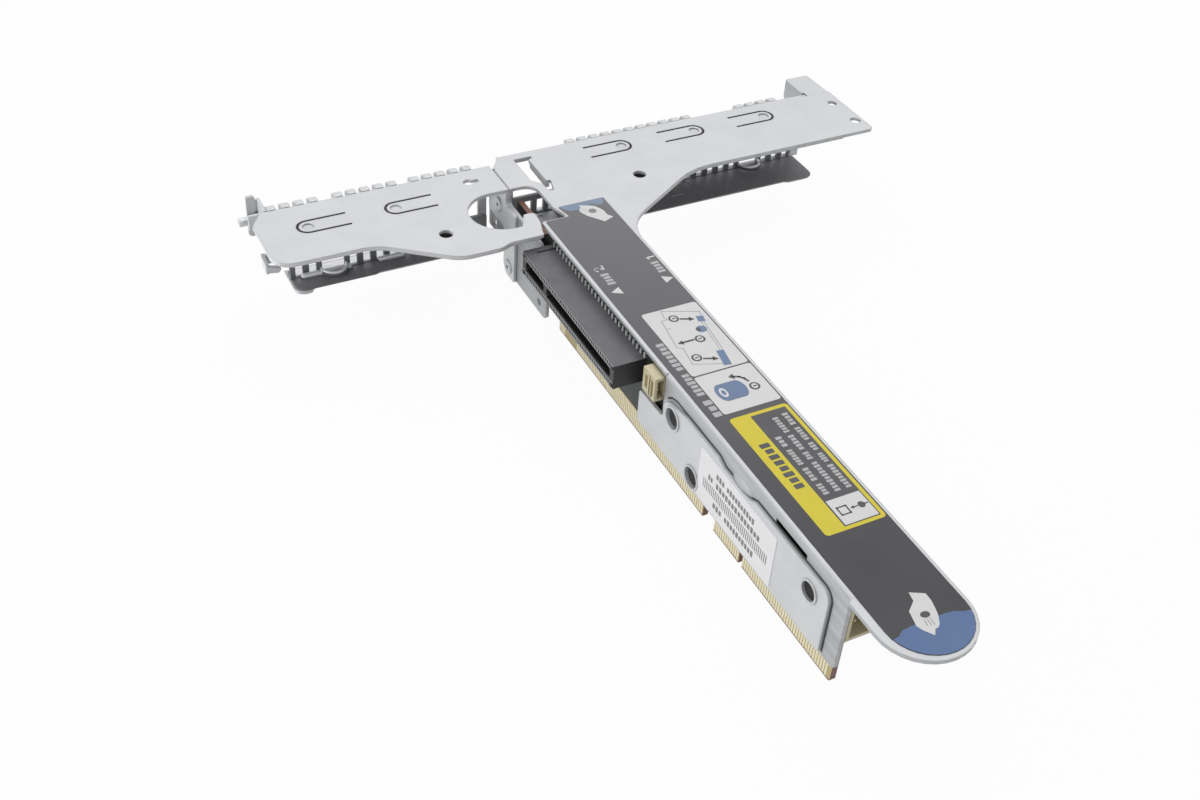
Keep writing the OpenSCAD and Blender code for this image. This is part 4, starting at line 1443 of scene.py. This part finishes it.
@dataclass
class SocketMouths:
    """Thin walls of the contact cells on both sockets' mouths, and the groove over one socket.

    Attributes:
        rail_mm: Width of the long walls beside the cells.
        rung_mm: Width of the walls between neighbouring cells.
        pitch_mm: Distance between neighbouring cells.
        proud_mm: How far the walls stand out.
        lip_mm: Width of the socket's lip above and below its slot.
        edge_mm: Distance of a lip's walls from the socket's top or foot.
        rail_end_mm: Distance of a rail's ends from the socket's.
        first_rung_mm: Distance of the first rung from the socket's end.
        cell_inset_mm: Distance of the shaded cells from the socket's ends and from their lip's walls.
        feet_mm: How far the socket's feet stand out of its mouth.
        groove_start_mm: Distance of the groove from the socket's left and rear faces.
        groove_mm: Width of the groove.
        groove_depth_mm: Heights of its painted shade below and over the socket's top.
    """

    rail_mm: float = 0.26
    rung_mm: float = 0.24
    pitch_mm: float = 1.0
    proud_mm: float = 0.06
    lip_mm: float = 1.8
    edge_mm: float = 0.1
    rail_end_mm: float = 0.4
    first_rung_mm: float = 2.0
    cell_inset_mm: Pair = (1.8, 0.3)
    feet_mm: float = 0.3
    groove_start_mm: Pair = (3.6, 2.6)
    groove_mm: float = 0.7
    groove_depth_mm: Pair = (0.4, 0.03)

    def build(self) -> None:
        """Makes the walls of each mouth and the groove."""
        self.mouth("slot_1_socket", 1)
        self.mouth("slot_2_socket", -1)
        low, high = (np.array(corner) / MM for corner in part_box("slot_2_socket"))
        left, rear = self.groove_start_mm
        down, up = self.groove_depth_mm
        foot = (low[0] + left, high[1] - rear, high[2] - down)
        head = (high[0], foot[1] + self.groove_mm, high[2] + up)
        # The groove is a box of painted shade
        place_mesh("slot_2_socket_groove", *boxes([(foot, head)]), PAINTED_SHADE, "socket_plastic")

    def mouth(self, name: str, side: int) -> None:
        """Lays rails and rungs in painted highlight, and cells of painted shade, on the lips of one mouth.

        Args:
            name: Node of the socket.
            side: 1 where the mouth faces +X and -1 where it faces -X.
        """
        low, high = (np.array(corner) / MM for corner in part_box(name))
        face = (high[0] if side > 0 else low[0]) - side * self.feet_mm
        inner, outer = sorted((face, face + side * self.proud_mm))
        half = self.proud_mm / 2
        rails, rungs, ends = (
            (low[1] + inset, high[1] - inset)
            for inset in (self.rail_end_mm, self.first_rung_mm, self.cell_inset_mm[0])
        )
        lap = self.cell_inset_mm[1]
        walls, cells = [], []
        for bottom in (low[2] + self.edge_mm, high[2] - self.edge_mm - self.lip_mm):
            top = bottom + self.lip_mm
            for z in (bottom, top - self.rail_mm):
                walls.append(((inner, rails[0], z), (outer, rails[1], z + self.rail_mm)))
            for y in np.arange(*rungs, self.pitch_mm):
                walls.append(((inner, y, bottom), (outer, y + self.rung_mm, top)))
            cells.append(((face - half, ends[0], bottom + lap), (face + half, ends[1], top - lap)))
        # Walls carry a painted highlight, cells a painted shade
        place_mesh(f"{name}_cell_walls", *boxes(walls), LIT_NYLON, "socket_plastic")
        place_mesh(f"{name}_cells", *boxes(cells), PAINTED_SHADE, "socket_plastic")


@dataclass
class FilmEmboss(CageFrame):
    """Embossed oval on the full-height shelf's film, drawn as a rounded ridge, and a bright slit.

    Attributes:
        middle: Cage X and Y of the oval's middle.
        radii: Half lengths of the oval along X and Y.
        ridge_mm: Radius of the ridge.
        slit: Lowest and highest cage X and Y of the slit.
        slit_mm: How far the slit's bright strip stands out.
    """

    middle: Pair = (62.3, -6.4)
    radii: Pair = (4.5, 4.0)
    ridge_mm: float = 0.16
    slit: tuple[Pair, Pair] = ((57.5, -10.6), (61.9, -10.35))
    slit_mm: float = 0.08

    def build(self) -> None:
        """Ridge: middle + radii * (cos t, sin t) * (1 + a cos s / smaller radius), at height a sin s."""
        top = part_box("slot_1_film")[1][2] / MM - self.origin[2]
        t = turn(48)[:, None]
        s = turn(8)[None, :]
        reach = 1 + self.ridge_mm * np.cos(s) / min(self.radii)
        x = self.middle[0] + self.radii[0] * np.cos(t) * reach
        y = self.middle[1] + self.radii[1] * np.sin(t) * reach
        points = self.stack(x, y, top + self.ridge_mm * np.sin(s))
        place_mesh("film_oval", points, grid_faces(48, 8, True, True), POLYESTER_FILM, "film")
        points, faces = boxes([((*self.slit[0], top), (*self.slit[1], top + self.slit_mm))])
        place_mesh("film_slit", points + self.origin, faces, SPRING_STEEL, "spring_steel")


@dataclass
class FlangeDome(CageFrame):
    """Low dome pressed into the arm's side flange, over the dip of the side plate.

    Attributes:
        middle: Cage Y and Z of the dome's middle.
        radii: Half lengths along Y and Z.
        height_mm: How far it stands out.
    """

    middle: Pair = (-149.4, -5.0)
    radii: Pair = (4.4, 1.7)
    height_mm: float = 0.9

    def build(self) -> None:
        """Surface: height * (1 - q**2) over the ellipse q = 0 to 1, turned by the angle t."""
        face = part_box("side_plate")[1][0] / MM
        q = np.linspace(0.02, 1, 9)[:, None]
        t = turn(32)[None, :]
        y = self.middle[0] + self.radii[0] * q * np.cos(t)
        z = self.middle[1] + self.radii[1] * q * np.sin(t)
        points = self.stack(face + 0.02 - self.height_mm * (1 - q**2), y, z)
        pole = tuple(range(len(t[0]) - 1, -1, -1))
        faces = grid_faces(len(q), len(t[0]), False, True) + [pole]
        smooth(place_mesh("flange_dome", points, faces, ZINC_SHEET, "zinc_sheet"))


@dataclass
class HeaderInsides:
    """Windows of painted shade, with ribs, on the small header's outer face.

    Each is given by its start and end along Y, and its gaps to the header's foot and top.

    Attributes:
        windows: Start, end and gaps of each shaded window.
        ribs: Start, end and gaps of each rib.
        proud_mm: How far the windows stand proud, to cover the face.
        rib_mm: How much further the ribs stand out.
        sunk_mm: How far both reach into the header.
    """

    windows: tuple[tuple[float, ...], ...] = ((0.9, 2.6, 1.0, 1.6), (3.3, 5.0, 1.6, 1.6))
    ribs: tuple[tuple[float, ...], ...] = ((1.6, 2.0, 0.4, 1.2), (2.6, 3.3, 0.2, 0.6))
    proud_mm: float = 0.03
    rib_mm: float = 0.25
    sunk_mm: float = 0.1

    def build(self) -> None:
        """Lays the shaded windows and the ribs beside them."""
        self.lay("side_header_windows", self.windows, self.proud_mm, HEADER_SHADE)
        self.lay("side_header_ribs", self.ribs, self.proud_mm + self.rib_mm, CREAM_NYLON)

    def lay(self, name: str, rows: tuple[tuple[float, ...], ...], proud: float, finish: Finish) -> None:
        """Makes one piece of blocks on the header's face.

        Args:
            name: Name of the piece.
            rows: Start, end and gaps of each block.
            proud: How far the blocks stand out.
            finish: Their finish.
        """
        low, high = (np.array(corner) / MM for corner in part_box("side_header"))
        outer, inner = low[0] - proud, low[0] + self.sunk_mm
        blocks = [
            ((outer, low[1] + start, low[2] + foot), (inner, low[1] + end, high[2] - head))
            for start, end, foot, head in rows
        ]
        place_mesh(name, *boxes(blocks), finish, "header_plastic")


# ---------------------------------------------------------------- studio
@dataclass
class Studio:
    """Camera, lamps, world and floor.

    Attributes:
        eye: Camera position.
        right: Direction to the right of the view.
        up: Direction up the view.
        back: Direction from the view towards the eye.
        lens_mm: Focal length on the 36 mm wide sensor.
        floor_size: Side of the floor.
        floor_gap_mm: Gap between the lowest edge and the floor.
        front_to_rear: Y of the direction where the front light ends and the rear light begins.
        front_level: Strength of the soft light from the front.
        rear_level: Strength of the soft light from the rear.
        floor_albedo: Share of the light that the floor sends back up.
        glow: Share of the floor's colour that is plain white to the eye.
    """

    eye: Point = (-0.1509, -0.2238, 0.2519)
    right: Point = (0.89229, -0.44810, 0.05496)
    up: Point = (0.25182, 0.59506, 0.76321)
    back: Point = (-0.37470, -0.66717, 0.64380)
    lens_mm: float = 42.85
    floor_size: float = 14.0
    floor_gap_mm: float = 0.2
    front_to_rear: Pair = (-1.0, 0.6)
    front_level: float = 0.4
    rear_level: float = 0.88
    floor_albedo: float = 0.7
    glow: float = 0.96

    def build(self) -> None:
        """Sets up the studio."""
        self.camera()
        self.world()
        self.lamps()
        self.floor()

    def camera(self) -> None:
        """Places the camera over the cage's front left."""
        data = bpy.data.cameras.new("camera")
        data.sensor_width = 36.0
        data.lens = self.lens_mm
        data.clip_start = 0.01
        camera = bpy.data.objects.new("camera", data)
        matrix = Matrix.Identity(4)
        for column, axis in enumerate((self.right, self.up, self.back, self.eye)):
            for row in range(3):
                matrix[row][column] = axis[row]
        camera.matrix_world = matrix
        bpy.context.scene.collection.objects.link(camera)
        bpy.context.scene.camera = camera
        LOG.info("camera set")

    def world(self) -> None:
        """Even soft light, white behind the object."""
        world = bpy.data.worlds.new("studio")
        world.use_nodes = True
        tree = world.node_tree
        tree.nodes.clear()
        seen = self.seen(tree)
        toward = add_node(tree, "ShaderNodeTexCoord").outputs["Generated"]
        depth = add_node(tree, "ShaderNodeSeparateXYZ", {"Vector": toward}).outputs["Y"]
        reach = span(self.front_to_rear, (self.front_level, self.rear_level))
        level = add_node(tree, "ShaderNodeMapRange", {"Value": depth, **reach}).outputs["Result"]
        soft, white = (
            add_node(tree, "ShaderNodeBackground", {"Color": WHITE, "Strength": strength}).outputs[0]
            for strength in (level, 1.0)
        )
        mix = add_node(tree, "ShaderNodeMixShader", {0: seen, 1: soft, 2: white})
        add_node(tree, "ShaderNodeOutputWorld", {"Surface": mix.outputs["Shader"]})
        bpy.context.scene.world = world

    def seen(self, tree: Tree) -> Socket:
        """Largest of the camera, glossy and transmission flags.

        Args:
            tree: Node tree to add to.

        Returns:
            Socket that is 1 for those rays and 0 for diffuse ones.
        """
        flags = add_node(tree, "ShaderNodeLightPath").outputs
        largest = flags["Is Camera Ray"]
        for name in ("Is Glossy Ray", "Is Transmission Ray"):
            node = add_node(tree, "ShaderNodeMath", {0: largest, 1: flags[name]}, operation="MAXIMUM")
            largest = node.outputs["Value"]
        return largest

    def lamps(self) -> None:
        """One wide soft lamp over the rear right and a weaker one at the left."""
        self.lamp("key", place=(0.15, 0.35, 0.75), target=(0.0, 0.02, 0.02), size=0.8, power=2.3)
        self.lamp("fill", place=(-0.8, 0.0, 0.3), target=(0.0, 0.0, 0.02), size=0.6, power=1.6)

    def lamp(self, name: str, place: Point, target: Point, size: float, power: float) -> None:
        """Adds one square area lamp.

        Args:
            name: Lamp's name.
            place: Its position.
            target: The point that it faces.
            size: Side of the lamp.
            power: Power in watts.
        """
        data = bpy.data.lights.new(name, "AREA")
        data.shape = "SQUARE"
        data.size = size
        data.energy = power
        lamp = bpy.data.objects.new(name, data)
        away = Vector(place) - Vector(target)
        lamp.matrix_world = Matrix.Translation(place) @ away.to_track_quat("Z", "Y").to_matrix().to_4x4()
        bpy.context.scene.collection.objects.link(lamp)

    def floor(self) -> None:
        """Flat white floor under the lowest edge."""
        half = self.floor_size / 2
        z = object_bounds()[0][2] - self.floor_gap_mm * MM
        corners = [(-half, -half, z), (half, -half, z), (half, half, z), (-half, half, z)]
        floor = new_piece("floor", np.array(corners), [(0, 1, 2, 3)])
        floor.data.materials.append(self.paper())
        floor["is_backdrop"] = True

    def paper(self) -> bpy.types.Material:
        """White paper that stays white behind the object and keeps its shadow.

        Returns:
            The floor's material.
        """
        material = bpy.data.materials.new("white_paper")
        material.use_nodes = True
        tree = material.node_tree
        tree.nodes.clear()
        diffuse = add_node(tree, "ShaderNodeBsdfDiffuse", {"Color": (self.floor_albedo,) * 3 + (1.0,)})
        glow = add_node(tree, "ShaderNodeEmission", {"Color": WHITE, "Strength": 1.0})
        share = add_node(tree, "ShaderNodeMath", {0: self.seen(tree), 1: self.glow}, operation="MULTIPLY")
        parts = {0: share.outputs["Value"], 1: diffuse.outputs["BSDF"], 2: glow.outputs["Emission"]}
        mix = add_node(tree, "ShaderNodeMixShader", parts)
        add_node(tree, "ShaderNodeOutputMaterial", {"Surface": mix.outputs["Shader"]})
        return material


def main() -> None:
    """Dresses the frame, prints the labels and sets up the studio."""
    logging.basicConfig(level=logging.INFO, format="%(name)s: %(message)s")
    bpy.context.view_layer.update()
    bpy.context.scene.view_settings.view_transform = "Standard"
    parts = (
        DressedFrame, TopLabel, SideLabel, GasketFingers, LocatingBushes, CoverEdges, PaintedHollowShade,
        SocketMouths, FilmEmboss, FlangeDome, HeaderInsides, Studio,
    )
    for part in parts:
        LOG.info("building %s", part.__name__)
        part().build()


if __name__ == "__main__":
    main()
